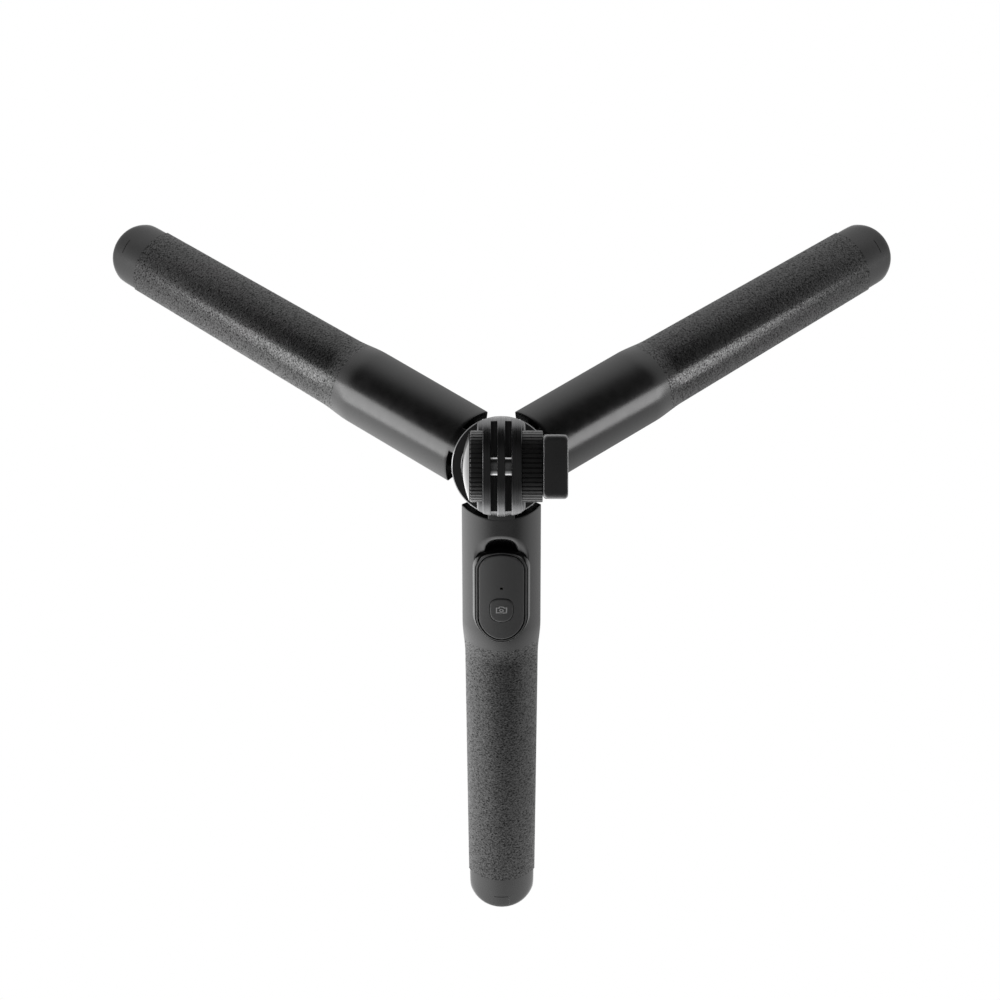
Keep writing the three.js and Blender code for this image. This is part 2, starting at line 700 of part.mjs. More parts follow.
function slidingJaw() {
  const jawEnd = CLAMP_X + CLAMP_DEPTH;
  const bottom = CLAMP_HALF_H - JAW_T;
  let body = clampSlab(jawEnd, bottom, CLAMP_HALF_H).add(block(
    [jawEnd - JAW_LIP, -CLAMP_HALF_W + CLAMP_CORNER, AXLE_Z + bottom - PAD_T - JAW_LIP],
    [jawEnd, CLAMP_HALF_W - CLAMP_CORNER, AXLE_Z + bottom + 1],
  ));
  for (const side of [-1, 1]) {
    body = body.subtract(postZ(ROD_R + GAP, CHANNEL_X, side * ROD_Y, AXLE_Z + bottom - 1, AXLE_Z + bottom + 2.5));
  }
  return mesh('sliding_jaw', body, SATIN);
}

function jawPad(name, z0) {
  const start = CLAMP_X + CLAMP_WALL + GAP;
  const end = CLAMP_X + CLAMP_DEPTH - JAW_LIP - GAP;
  const body = block([start, -PAD_HALF_W, AXLE_Z + z0], [end, PAD_HALF_W, AXLE_Z + z0 + PAD_T - GAP]);
  return mesh(name, body, RUBBER);
}

function guideRod(side) {
  const start = AXLE_Z - CLAMP_TOP;
  const end = AXLE_Z + CLAMP_HALF_H - JAW_T + 2.3;
  const y = side * ROD_Y;
  const body = postZ(ROD_R, CHANNEL_X, y, start, end)
    .add(postZ(ROD_COLLAR_R, CHANNEL_X, y, start, start + ROD_COLLAR_H));
  return mesh(side < 0 ? 'guide_rod_1' : 'guide_rod_2', body, STEEL);
}

class Helix extends THREE.Curve {
  getPoint(t) {
    const angle = t * SPRING_COILS * 2 * Math.PI;
    return new THREE.Vector3(SPRING_R * Math.cos(angle), SPRING_R * Math.sin(angle), t * SPRING_LENGTH);
  }
}

function clampSpring(side) {
  const wire = new THREE.Shape();
  wire.absarc(0, 0, WIRE_R, 0, 2 * Math.PI);
  const coil = new THREE.ExtrudeGeometry(wire, {
    extrudePath: new Helix(),
    steps: SPRING_COILS * 8,
    curveSegments: 2,
    bevelEnabled: false,
  });
  coil.translate(CHANNEL_X, side * ROD_Y, AXLE_Z + SPRING_FOOT);
  return mesh(side < 0 ? 'clamp_spring_1' : 'clamp_spring_2', solid(coil), STEEL);
}

// ---- Assembly ----

const stick = new THREE.Group();
stick.name = 'selfie_stick';
stick.add(hub(), hubCap(), polePlug());
for (let k = 0; k < TUBE_RADII.length; k++) stick.add(tube(k));
const remote = remoteInsides();
for (let i = 0; i < LEG_COUNT; i++) {
  const pieces = [legShell(i), legCover(i), grip(i), endCap(i), foot(i)];
  if (i === 0) {
    pieces.push(remoteCase(), remoteCover(), ...Object.values(remote));
  }
  stick.add(openLeg(i, pieces), hubScrew(i));
}
stick.add(yoke(), axle(), frictionWasher(), tensionKnob(), knobCap(), clampRing());
stick.add(clampBack(), slidingJaw());
stick.add(jawPad('lower_pad', JAW_T - CLAMP_HALF_H + GAP / 2));
stick.add(jawPad('upper_pad', CLAMP_HALF_H - JAW_T - PAD_T + GAP / 2));
for (const side of [-1, 1]) stick.add(guideRod(side), clampSpring(side));

export default stick;
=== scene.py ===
"""Looks for a selfie stick that stands on its own three-part handle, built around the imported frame.

Shapes are worked out in millimetres and turned into Blender's metres when a mesh is made. A leg is
shaped in its closed place, where x runs across it, rho is the distance from the pole's axis and d is
the distance below the hinge pin. leg_place() then swings it open.
"""

import json
import math

import bmesh
import bpy
import numpy as np
from mathutils import Matrix, Vector, noise

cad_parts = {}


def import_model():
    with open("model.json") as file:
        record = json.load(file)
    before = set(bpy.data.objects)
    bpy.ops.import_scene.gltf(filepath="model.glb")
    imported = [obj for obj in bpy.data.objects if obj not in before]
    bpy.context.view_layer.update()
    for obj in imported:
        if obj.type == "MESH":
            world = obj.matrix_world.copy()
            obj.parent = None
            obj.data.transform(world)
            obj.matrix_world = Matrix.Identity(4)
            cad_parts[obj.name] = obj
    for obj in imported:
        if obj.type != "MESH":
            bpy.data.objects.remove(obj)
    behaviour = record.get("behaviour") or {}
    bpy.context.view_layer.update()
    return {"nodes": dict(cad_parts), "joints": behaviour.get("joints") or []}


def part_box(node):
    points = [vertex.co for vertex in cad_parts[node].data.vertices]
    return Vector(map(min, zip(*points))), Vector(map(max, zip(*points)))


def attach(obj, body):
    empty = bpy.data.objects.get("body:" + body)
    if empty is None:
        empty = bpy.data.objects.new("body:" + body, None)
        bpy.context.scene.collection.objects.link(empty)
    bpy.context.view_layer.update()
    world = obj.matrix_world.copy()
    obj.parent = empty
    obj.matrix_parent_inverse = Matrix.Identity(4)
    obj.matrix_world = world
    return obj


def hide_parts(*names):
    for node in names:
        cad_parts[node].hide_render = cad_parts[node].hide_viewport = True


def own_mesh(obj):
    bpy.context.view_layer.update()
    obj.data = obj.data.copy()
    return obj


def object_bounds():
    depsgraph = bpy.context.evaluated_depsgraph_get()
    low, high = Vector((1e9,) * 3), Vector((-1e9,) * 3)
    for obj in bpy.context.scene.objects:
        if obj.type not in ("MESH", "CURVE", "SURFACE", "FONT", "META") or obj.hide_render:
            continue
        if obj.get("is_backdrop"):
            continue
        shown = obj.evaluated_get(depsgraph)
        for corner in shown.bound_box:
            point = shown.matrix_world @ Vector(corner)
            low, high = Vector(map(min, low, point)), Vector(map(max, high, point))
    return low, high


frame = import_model()
JOINTS = {joint["name"]: joint for joint in frame["joints"]}

MM = 0.001
LEG_BODIES = ("front_leg", "right_leg", "left_leg")
THIRD = math.tau / 3
PIN = Vector(JOINTS["front_leg_fold"]["pos_m"]) / MM
PIN_RING = -PIN.y
OPEN_ANGLE = math.radians(JOINTS["front_leg_fold"]["range_deg"][1])
AXLE_Z = JOINTS["clamp_roll"]["pos_m"][2] / MM
SPREAD = math.pi / 3
FAR = 30
AS_IT_IS = Matrix.Identity(4)

# Legs
SHOULDER = 5.1
BODY_R = 18.43
NECK_START = 69.7
NECK_END = 89
NECK_R = 17.3
GRIP_START = 79.5
GRIP_END = 217
GRIP_END_R = 16.2
GRIP_WALL = 1.3
SIDE_OFFSET = 1
LEG_CORNER = 0.5
LEG_WALL = 1.8
POLE_BORE = 9.4
COVER_WALL = 1.4
TIP = 235
DOME_R = 14.6
DOME_CENTRE = 8
DOME_POWER = 2.8
TONGUE_HALF = 5.15
TONGUE_R = 4.7
TONGUE_ROOT = 3
PIN_BORE = 1.65
PIN_R = 1.5
PIN_HALF = 12
COVER_START = 12.3
COVER_SHORT = 8
FOOT_HALF = 3
FOOT_START = 227.4
FOOT_FLAT = 229
FOOT_PROUD = 0.5
SEAM = 0.06
INNER_WALL = SIDE_OFFSET + LEG_WALL + SEAM
FOOT_SEAM = 0.3
FOOT_SEAM_DEPTH = 2.5
CAP_SEAM = 0.02
FIT = 0.01
SPIGOT = 7
GRAIN_DEPTH = 0.07

# Remote
REMOTE_START = 23.4
REMOTE_END = 73.2
REMOTE_HALF = 10
ROUND_END = 12
REMOTE_FLOOR = 12.2
POCKET_FLOOR = 12
POCKET_GAP = 0.15
BEZEL_WIDTH = 1.05
BEZEL_HEIGHT = 0.95
SCOOP_LENGTH = 9.4
SCOOP_DEPTH = 3.4
SCOOP_EDGE = 1.3
FACE_TOP = 18.45
FACE_CROWN = 0.021
RIM_WIDTH = 0.75
GROOVE_WIDTH = 0.5
BUTTON_AT = 55.5
BUTTON_HALF = (4.55, 6.6)
BUTTON_PROUD = 0.08
LED_AT = 43.3
LED_R = 0.55
MARK_HALF = (1.95, 1.5)
MARK_LINE = 0.46

# Hub and pole
HUB_BORE = 7.65
HUB_SLOT_HALF = 5.45
HUB_SLOT_START = 8.7
RIM_BEVEL = 0.4
TUBE_WALL = 0.5
PLUG_FLANGE = 3
PLUG_R = 6.9

# Head
YOKE_R = 18.9
YOKE_HALF = 9.1
YOKE_SHOULDER_Z = 190
KNOB_POCKET = -6.9
RING_POCKET = 7.7
PRONG_SLOT = (1.45, 3.95)
PRONG_DEPTH = 11
POCKET_R = 13.8
YOKE_FOOT_R = 15.4
AXLE_BORE = 3.72
AXLE_R = 3.6
WELL_R = 7.9
WELL_DEPTH = 4.5
WELL_NECK_R = 4.15
WELL_TOP = 187
WHEEL_R = 13.5
WHEEL_BORE = 3.8
KNOB_FACE = -7.0
DOME_EDGE_R = 13
KNURL_COUNT = 45
KNURL_DEPTH = 0.45

# Phone clamp
BACK_T = 3.4
JAW_T = 4
LIP_T = 0.8
LIP_IN = 2.5
ROD_Y = 8
ROD_R = 0.6
ROD_FOOT_R = 1.1
ROD_FOOT_T = 1
CHANNEL_R = 1.3
CHANNEL_NECK_R = 0.8
PAD_RIBS = 12
RIB_DEPTH = 0.3
SPRING_WIRE_R = 0.2
SPRING_COILS = 8
SOFT_EDGE = (0.3, 0.3, 0.3)
LIP_EDGE = (0.2, 0.4, 0.3)
SHARP_EDGE = (0, 0, 0.01)

# Looks
NOISE_RANGE = (0.3, 0.7)
WHITE = (1, 1, 1, 1)
WORLD_GREY = (0.8, 0.8, 0.8, 1)


# ---- Making meshes ----

def new_object(name, data):
    obj = bpy.data.objects.new(name, data)
    bpy.context.scene.collection.objects.link(obj)
    return obj


def new_piece(name, points, faces, place):
    """A mesh object from points in millimetres, put in place, with its faces turned outwards."""
    mesh = bpy.data.meshes.new(name)
    mesh.from_pydata([tuple(place @ (Vector(p) * MM)) for p in points], [], faces)
    obj = new_object(name, mesh)
    clean(obj)
    return obj


def clean(obj, merge=1e-7):
    work = bmesh.new()
    work.from_mesh(obj.data)
    bmesh.ops.remove_doubles(work, verts=work.verts, dist=merge)
    bmesh.ops.dissolve_degenerate(work, edges=work.edges, dist=1e-8)
    bmesh.ops.recalc_face_normals(work, faces=work.faces)
    work.to_mesh(obj.data)
    work.free()


def loft_faces(count, rows, closed):
    """Quads between rows of points that each close on themselves, and a face over each end."""
    faces = []
    last = rows if closed else rows - 1
    for row in range(last):
        base = row * count
        above = ((row + 1) % rows) * count
        for k in range(count):
            after = (k + 1) % count
            faces.append((base + k, base + after, above + after, above + k))
    if not closed:
        faces.append(tuple(range(count)))
        faces.append(tuple((rows - 1) * count + k for k in range(count)))
    return faces


def loft(name, rings, place=AS_IT_IS, closed=False):
    points = [point for ring in rings for point in ring]
    return new_piece(name, points, loft_faces(len(rings[0]), len(rings), closed), place)


def apply_modifiers(obj):
    graph = bpy.context.evaluated_depsgraph_get()
    done = bpy.data.meshes.new_from_object(obj.evaluated_get(graph))
    obj.modifiers.clear()
    old = obj.data
    obj.data = done
    bpy.data.meshes.remove(old)


def combine(obj, other, operation):
    """Changes a mesh by another, which is used up."""
    step = obj.modifiers.new(operation, "BOOLEAN")
    step.operation = operation
    step.object = other
    step.solver = "EXACT"
    apply_modifiers(obj)
    bpy.data.objects.remove(other)
    clean(obj, 1e-6)


def cut(obj, other):
    combine(obj, other, "DIFFERENCE")


def join(obj, other):
    combine(obj, other, "UNION")


def paint(obj, material):
    obj.data.materials.clear()
    obj.data.materials.append(material)


def finish(obj, material, body, *nodes, slot=None, sharp_degrees=32):
    """Smooths a piece, paints it, puts it on its body and hides the CAD nodes it stands for."""
    obj.data.polygons.foreach_set("use_smooth", [True] * len(obj.data.polygons))
    obj.data.set_sharp_from_angle(angle=math.radians(sharp_degrees))
    paint(obj, material)
    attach(obj, body)
    if nodes:
        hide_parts(*nodes)


def turned(name, outline, place=AS_IT_IS, segments=96):
    """A body turned about Z from (radius, z) corners, closed on the axis or on itself."""
    turns = [math.tau * k / segments for k in range(segments)]
    rings = [[(r * math.cos(a), r * math.sin(a), z) for a in turns] for r, z in outline]
    ring_shaped = outline[0][0] > 0
    return loft(name, rings, place, closed=ring_shaped)


def rod_outline(radius, low, high):
    return [(0, low), (radius, low), (radius, high), (0, high)]


def stepped_rod(radius, low, step, upper_radius, high):
    """The outline of a rod whose radius changes at a step."""
    return [(0, low), (radius, low), (radius, step), (upper_radius, step), (upper_radius, high), (0, high)]


def round_corners(outline, radius, closed):
    """The same outline with each corner replaced by a short curve."""
    steps = 3
    rounded = []
    total = len(outline)
    for k, corner in enumerate(outline):
        if not closed and k in (0, total - 1):
            rounded.append(corner)
            continue
        here = Vector(corner)
        before = Vector(outline[k - 1]) - here
        after = Vector(outline[(k + 1) % total]) - here
        reach = min(radius, before.length * 0.45, after.length * 0.45)
        start = here + before.normalized() * reach
        end = here + after.normalized() * reach
        for step in range(steps + 1):
            t = step / steps
            point = start * (1 - t) ** 2 + here * (2 * t * (1 - t)) + end * t**2
            rounded.append((point.x, point.y))
    return rounded


def block(name, low, high, place=AS_IT_IS):
    (x0, y0, z0), (x1, y1, z1) = low, high
    rings = [[(x0, y0, z), (x1, y0, z), (x1, y1, z), (x0, y1, z)] for z in (z0, z1)]
    return loft(name, rings, place)


def box_mm(node):
    """The lowest and highest corner of a CAD node's box, in millimetres."""
    low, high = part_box(node)
    return low / MM, high / MM


def along_x(z=0.0):
    """Turns a body made about Z so that its length runs along +X, at height z."""
    return Matrix.Translation((0, 0, z * MM)) @ Matrix.Rotation(math.pi / 2, 4, "Y")


def quarter_round(steps):
    """(how far along, how far in) at each step of a rounded edge, as shares of its radius."""
    turns = [k / steps * math.pi / 2 for k in range(steps + 1)]
    return [(1 - math.cos(a), 1 - math.sin(a)) for a in turns]


def smooth_step(t):
    t = min(1.0, max(0.0, t))
    return t * t * (3 - 2 * t)


# ---- Materials ----

def shader_of(material):
    return material.node_tree.nodes["Principled BSDF"]


def texture_node(material, kind, scale, stretch=(1, 1, 1)):
    """A texture in the frame's own metres; a larger stretch makes finer marks along that axis."""
    tree = material.node_tree
    place = tree.nodes.new("ShaderNodeTexCoord")
    mapping = tree.nodes.new("ShaderNodeMapping")
    mapping.inputs["Scale"].default_value = stretch
    node = tree.nodes.new(kind)
    node.inputs["Scale"].default_value = scale
    tree.links.new(place.outputs["Object"], mapping.inputs["Vector"])
    tree.links.new(mapping.outputs["Vector"], node.inputs["Vector"])
    return node


def noise_field(material, scale, detail, stretch=(1, 1, 1)):
    node = texture_node(material, "ShaderNodeTexNoise", scale, stretch)
    node.inputs["Detail"].default_value = detail
    return node.outputs["Fac"]


def cell_field(material, scale):
    """Cells that are lowest along the lines where they meet."""
    node = texture_node(material, "ShaderNodeTexVoronoi", scale)
    node.feature = "DISTANCE_TO_EDGE"
    return node.outputs["Distance"]


def map_range(tree, value, source, target, interpolation="LINEAR"):
    """Maps a node's value from one (low, high) range to another."""
    node = tree.nodes.new("ShaderNodeMapRange")
    node.interpolation_type = interpolation
    node.inputs["From Min"].default_value, node.inputs["From Max"].default_value = source
    node.inputs["To Min"].default_value, node.inputs["To Max"].default_value = target
    tree.links.new(value, node.inputs["Value"])
    return node.outputs["Result"]


def vary(material, field, socket, values):
    """Spreads a shader input between two values by a noise."""
    tree = material.node_tree
    tree.links.new(map_range(tree, field, NOISE_RANGE, values), shader_of(material).inputs[socket])


def vary_colour(material, field, colours):
    tree = material.node_tree
    node = tree.nodes.new("ShaderNodeValToRGB")
    for element, position, colour in zip(node.color_ramp.elements, NOISE_RANGE, colours):
        element.position = position
        element.color = (*colour, 1)
    tree.links.new(field, node.inputs["Fac"])
    tree.links.new(node.outputs["Color"], shader_of(material).inputs["Base Color"])


def add_bump(material, height, strength, distance):
    tree = material.node_tree
    bump = tree.nodes.new("ShaderNodeBump")
    bump.inputs["Strength"].default_value = strength
    bump.inputs["Distance"].default_value = distance
    tree.links.new(height, bump.inputs["Height"])
    tree.links.new(bump.outputs["Normal"], shader_of(material).inputs["Normal"])


def greys(dark, light, blue=0.001):
    """Two greys, each with a trace more blue."""
    return (dark, dark, dark + blue), (light, light, light + blue)


def surface(name, colours, roughness, tint, wear, bump=None, metallic=0.0):
    """A material whose colour and roughness spread between two values, each over its own noise."""
    material = bpy.data.materials.new(name)
    material.use_nodes = True
    shader_of(material).inputs["Metallic"].default_value = metallic
    vary_colour(material, noise_field(material, *tint), colours)
    vary(material, noise_field(material, *wear), "Roughness", roughness)
    if bump:
        grain_noise, strength, distance = bump
        add_bump(material, noise_field(material, *grain_noise), strength, distance)
    return material


def grip_skin():
    """Pebbled skin, shiny in some places and dull in others."""
    material = surface("grip_skin", greys(0.003, 0.008, 0.0001), (0.17, 0.24),
                       tint=(900, 4), wear=(700, 3))
    vary(material, noise_field(material, 1450, 1), "Specular IOR Level", (0.05, 0.78))
    add_bump(material, cell_field(material, 1000), 0.3, 0.0001)
    return material


SATIN = surface("satin_plastic", greys(0.0035, 0.005, 0.00015), (0.19, 0.24),
                tint=(60, 3), wear=(220, 4), bump=((3200, 2), 0.12, 0.00002))
REMOTE = surface("remote_plastic", greys(0.009, 0.012, 0.0003), (0.34, 0.4),
                 tint=(90, 3), wear=(300, 3), bump=((4200, 2), 0.15, 0.00002))
KNURLED = surface("knurled_plastic", greys(0.075, 0.095), (0.26, 0.36),
                  tint=(200, 2), wear=(500, 3), bump=((3000, 2), 0.15, 0.00003))
GLOSS = surface("gloss_plastic", greys(0.003, 0.006, 0), (0.14, 0.2),
                tint=(80, 2), wear=(90, 4))
GRIP = grip_skin()
STREAKS = (90, 5, (40, 0.6, 0.6))
HEAD = surface("brushed_head", greys(0.13, 0.2, 0.0025), (0.22, 0.36),
               tint=(70, 5, (40, 0.7, 0.7)), wear=STREAKS, bump=(STREAKS, 0.12, 0.00002), metallic=0.9)
DRAWN = (60, 5, (30, 30, 0.5))
STEEL = surface("drawn_steel", ((0.44, 0.445, 0.45), (0.56, 0.565, 0.57)), (0.16, 0.28),
                tint=DRAWN, wear=DRAWN, bump=(DRAWN, 0.06, 0.00001), metallic=1.0)
TURNED = (400, 3, (6, 1, 1))
PINS = surface("machined_steel", greys(0.55, 0.55, 0.005), (0.12, 0.22),
               tint=TURNED, wear=TURNED, bump=(TURNED, 0.05, 0.00001), metallic=1.0)
RUBBER = surface("pad_rubber", greys(0.006, 0.013, 0), (0.5, 0.7),
                 tint=(300, 4), wear=(400, 4), bump=((2600, 3), 0.3, 0.00008))
BOARD = surface("board_green", ((0.015, 0.09, 0.035), (0.03, 0.16, 0.06)), (0.4, 0.4),
                tint=(500, 3), wear=(500, 3))
INK = surface("printed_ink", greys(0.5, 0.6, 0), (0.5, 0.5), tint=(1500, 2), wear=(1500, 2))
COLLAR = surface("collar_plastic", greys(0.08, 0.095), (0.28, 0.34),
                 tint=(120, 3), wear=(260, 4))
RIM = surface("polished_rim", greys(0.22, 0.22, 0.003), (0.2, 0.28),
              tint=(500, 3), wear=(500, 3), metallic=1.0)
CLAMP = surface("clamp_plastic", greys(0.155, 0.18, 0.002), (0.24, 0.3),
                tint=(100, 3), wear=(240, 4), bump=((3200, 2), 0.1, 0.00002))


# ---- Legs ----

def third_turn(i):
    return Matrix.Rotation(i * THIRD, 4, "Z")


def leg_place(i):
    """From a leg's closed place to where it stands open at rest."""
    pin = Matrix.Translation(PIN * MM)
    swing = Matrix.Rotation(-OPEN_ANGLE, 4, "X")
    back = Matrix.Translation((0, PIN_RING * MM, 0))
    return third_turn(i) @ pin @ swing @ back


def outer_radius(d):
    if d <= NECK_START:
        return BODY_R
    if d <= NECK_END:
        return BODY_R + (NECK_R - BODY_R) * smooth_step((d - NECK_START) / (NECK_END - NECK_START))
    return NECK_R + (GRIP_END_R - NECK_R) * (d - NECK_END) / (GRIP_END - NECK_END)


def polar(radius, angle):
    """A point of a leg's cross-section, as (x, rho)."""
    return radius * math.sin(angle), radius * math.cos(angle)


def side_angle(radius, offset):
    """Where a circle about the pole meets a leg's side plane."""
    return SPREAD - math.asin(offset / radius)


def outer_half(radius, offset, corner, arc_steps):
    """The outside of a leg's section, from its middle round the corner on to its flat side."""
    turn = side_angle(radius - corner, offset + corner)
    half = [polar(radius, turn * k / arc_steps) for k in range(arc_steps + 1)]
    cx, crho = polar(radius - corner, turn)
    side_normal = SPREAD + math.pi / 2
    corner_steps = 6
    for k in range(1, corner_steps + 1):
        x, rho = polar(corner, turn + (side_normal - turn) * k / corner_steps)
        half.append((cx + x, crho + rho))
    return half


def shell_section(radius, inset=0.0):
    """A leg's section, with the recess down its inside that its cover lies in."""
    offset = SIDE_OFFSET + inset
    corner = max(0.2, LEG_CORNER - inset)
    half = outer_half(radius - inset, offset, corner, arc_steps=36)
    bore = POLE_BORE + inset
    half.append(polar(bore, side_angle(bore, offset)))
    wall = SIDE_OFFSET + LEG_WALL
    half.append(polar(bore, side_angle(bore, wall)))
    roof = POLE_BORE + COVER_WALL + 0.1
    edge = side_angle(roof, wall)
    cover_steps = 8
    half += [polar(roof, edge * (1 - k / cover_steps)) for k in range(cover_steps)]
    half.append((0.0, roof))
    return both_sides(half)


def both_sides(half):
    """A whole section from its half, which starts and ends on the middle line."""
    return half + [(-x, rho) for x, rho in reversed(half[1:-1])]


def ring_at(section, d):
    return [(x, -rho, -d) for x, rho in section]


def rounded_start(start, radius):
    """(distance, inset) pairs that round an end over."""
    return [(start + radius * along, radius * inset) for along, inset in quarter_round(4)[:-1]]


def shell_rings(row_step):
    edge = 0.35
    rings = [ring_at(shell_section(BODY_R, inset), d) for d, inset in rounded_start(SHOULDER, edge)]
    start = SHOULDER + edge
    end = GRIP_START - 0.02
    rows = int((end - start) / row_step)
    for k in range(rows + 1):
        d = start + (end - start) * k / rows
        rings.append(ring_at(shell_section(outer_radius(d)), d))
    under = GRIP_WALL + 0.05
    for d in np.linspace(end, GRIP_END, 8):
        rings.append(ring_at(shell_section(outer_radius(d) - under), d))
    return rings


def tongue(name, place):
    """The lug that the hinge pin runs through; its outside follows the leg's round surface."""
    steps = 24
    turns = [math.pi * k / steps for k in range(steps + 1)]
    outline = [(PIN_RING + TONGUE_R * math.cos(a), -TONGUE_R * math.sin(a)) for a in turns]
    outline += [(PIN_RING + reach, SHOULDER + TONGUE_ROOT) for reach in (-TONGUE_R, TONGUE_R)]
    edge = 0.25
    rings = []
    spans = [(-TONGUE_HALF, edge), (-TONGUE_HALF + edge * 0.3, edge * 0.3), (-TONGUE_HALF + edge, 0)]
    spans += [(x, 0) for x in np.linspace(-TONGUE_HALF + 1, TONGUE_HALF - 1, 9)]
    spans += [(-x, inset) for x, inset in reversed(spans[:3])]
    for x, inset in spans:
        limit = math.sqrt(BODY_R**2 - x**2) - 0.004
        squeeze = (limit - PIN_RING) / TONGUE_R
        ring = []
        for rho, d in outline:
            reach = rho - PIN_RING
            reach *= (squeeze if reach > 0 else 1) * (1 - inset / TONGUE_R)
            ring.append((x, -(PIN_RING + reach), -d * (1 - inset / TONGUE_R)))
        rings.append(ring)
    return loft(name, rings, place)


def leg_shell(i):
    place = leg_place(i)
    name = f"leg_{i + 1}_body"
    shell = loft(name, shell_rings(0.8 if i == 0 else 1.6), place)
    if i == 0:
        cut(shell, pocket_cutter(place))
        finish(pocket_bezel(place), SATIN, LEG_BODIES[i])
    lug = tongue(f"leg_{i + 1}_hinge_lug", place)
    pin_line = Matrix.Translation((0, -PIN_RING * MM, 0)) @ along_x()
    beyond = TONGUE_HALF + 3
    cut(lug, turned("bore", rod_outline(PIN_BORE, -beyond, beyond), place @ pin_line, 32))
    join(shell, lug)
    finish(shell, SATIN, LEG_BODIES[i], f"leg_shell_{i + 1}")


def sector_section(low, high, wall):
    """A section between two radii about the pole, with flat sides, for what fits inside a leg."""
    steps = 16
    inner = side_angle(low, wall)
    outer = side_angle(high, wall)
    section = [polar(low, inner * (2 * k / steps - 1)) for k in range(steps + 1)]
    return section + [polar(high, outer * (1 - 2 * k / steps)) for k in range(steps + 1)]


def leg_cover(i):
    low = POLE_BORE + 0.05
    high = POLE_BORE + COVER_WALL
    end = GRIP_END - COVER_SHORT
    edge = 0.3
    ends = rounded_start(COVER_START, edge)
    pairs = ends + [(d, 0) for d in np.linspace(COVER_START + edge, end - edge, 6)]
    pairs += [(COVER_START + end - d, inset) for d, inset in reversed(ends)]
    rings = [ring_at(sector_section(low + inset, high, INNER_WALL + inset), d) for d, inset in pairs]
    cover = loft(f"leg_{i + 1}_inner_cover", rings, leg_place(i))
    finish(cover, SATIN, LEG_BODIES[i], f"leg_cover_{i + 1}")


# ---- Grips ----

def grain(x, y, seed):
    """Height of a leather-like grain, from about 0 to 1, at a place in millimetres."""
    cell = 0.9
    waver = noise.noise(Vector((x * 0.9, y * 0.9, seed)))
    spot = Vector((x / cell + waver * 0.6, y / cell - waver * 0.5, seed))
    near, far = noise.voronoi(spot)[0][:2]
    pebble = min(1.0, (far - near) * 2.2)
    crumple = noise.noise(Vector((x * 2.1, y * 2.1, seed + 7)))
    worn = 0.55 + 0.45 * noise.noise(Vector((x * 0.14, y * 0.11, seed + 3)))
    return (0.7 * pebble + 0.3 * crumple) * worn


def grip(i):
    """The skin around the leg's outside. Its grain is in the mesh."""
    inside_steps = 5
    rows = 370
    rings = []
    for row in range(rows + 1):
        d = GRIP_START + (GRIP_END - GRIP_START) * row / rows
        radius = outer_radius(d)
        half = outer_half(radius, SIDE_OFFSET, LEG_CORNER, arc_steps=44)
        inner = radius - GRIP_WALL
        edge = side_angle(inner, SIDE_OFFSET)
        half += [polar(inner, edge * (1 - k / inside_steps)) for k in range(inside_steps + 1)]
        end_fade = smooth_step(min(d - GRIP_START, GRIP_END - d) / 1.2)
        ring = []
        for x, rho in both_sides(half):
            reach = math.hypot(x, rho)
            turn = math.atan2(x, rho)
            outside = smooth_step((reach - radius + 0.5) / 0.4)
            sink = 0.0
            if outside > 0:
                level = 0.45 - grain(turn * radius, d, 11 + 5 * i)
                sink = GRAIN_DEPTH * end_fade * outside * level
            scale = 1 - sink / reach
            ring.append((x * scale, -rho * scale, -d))
        rings.append(ring)
    piece = loft(f"grip_skin_{i + 1}", rings, leg_place(i))
    finish(piece, GRIP, LEG_BODIES[i], f"grip_{i + 1}", sharp_degrees=60)


# ---- End caps and feet ----

def sector_reach(direction, radius):
    """How far each edge of a leg's section lies from the dome's centre, in one direction."""
    dx, drho = math.sin(direction), math.cos(direction)
    along = DOME_CENTRE * drho
    to_circle = -along + math.sqrt(along**2 + radius**2 - DOME_CENTRE**2)
    reaches = [to_circle]
    room = DOME_CENTRE * math.sin(SPREAD) - SIDE_OFFSET
    for side in (-1, 1):
        closing = side * dx * math.cos(SPREAD) - drho * math.sin(SPREAD)
        if closing > 1e-6:
            reaches.append(room / closing)
    return reaches


def soft_least(values, power):
    """The least of some lengths, with a soft change from one to the next."""
    return sum(value**-power for value in values) ** (-1 / power)


def tip_rings(flat_level):
    """Rings that close a leg's tip as a dome, cut flat where it stands on the ground."""
    steps = 34
    count = 160
    start = GRIP_END + CAP_SEAM
    rings = []
    for k in range(steps + 1):
        t = math.sin(k / steps * math.pi / 2)
        d = start + (TIP - start) * t
        dome = DOME_R * max(0.0, 1 - t**DOME_POWER) ** (1 / DOME_POWER)
        ring = []
        for n in range(count):
            direction = math.tau * n / count
            reaches = sector_reach(direction, outer_radius(GRIP_END))
            reach = soft_least(reaches + [max(dome, 0.01)], 16)
            x = reach * math.sin(direction)
            rho = DOME_CENTRE + reach * math.cos(direction)
            ring.append((x, -rho, -min(d, rho + flat_level)))
        rings.append(ring)
    return rings


def cap_spigot(place):
    """The part of an end cap that fills the leg's hollow beyond the inner cover."""
    low = POLE_BORE + SEAM
    high = GRIP_END_R - GRIP_WALL - LEG_WALL - SEAM
    start = GRIP_END - SPIGOT
    edge = 0.3
    rings = []
    for d, inset in ((start, edge), (start + edge, 0), (GRIP_END + 1, 0)):
        rings.append(ring_at(sector_section(low + inset, high - inset, INNER_WALL + inset), d))
    return loft("spigot", rings, place)


def foot_band(name, half, depth, start, place):
    """A block across a leg's tip: what lies from its outer side down to a depth, beyond a start."""
    return block(name, (-half, -FAR, -TIP - 2), (half, depth, -start), place)


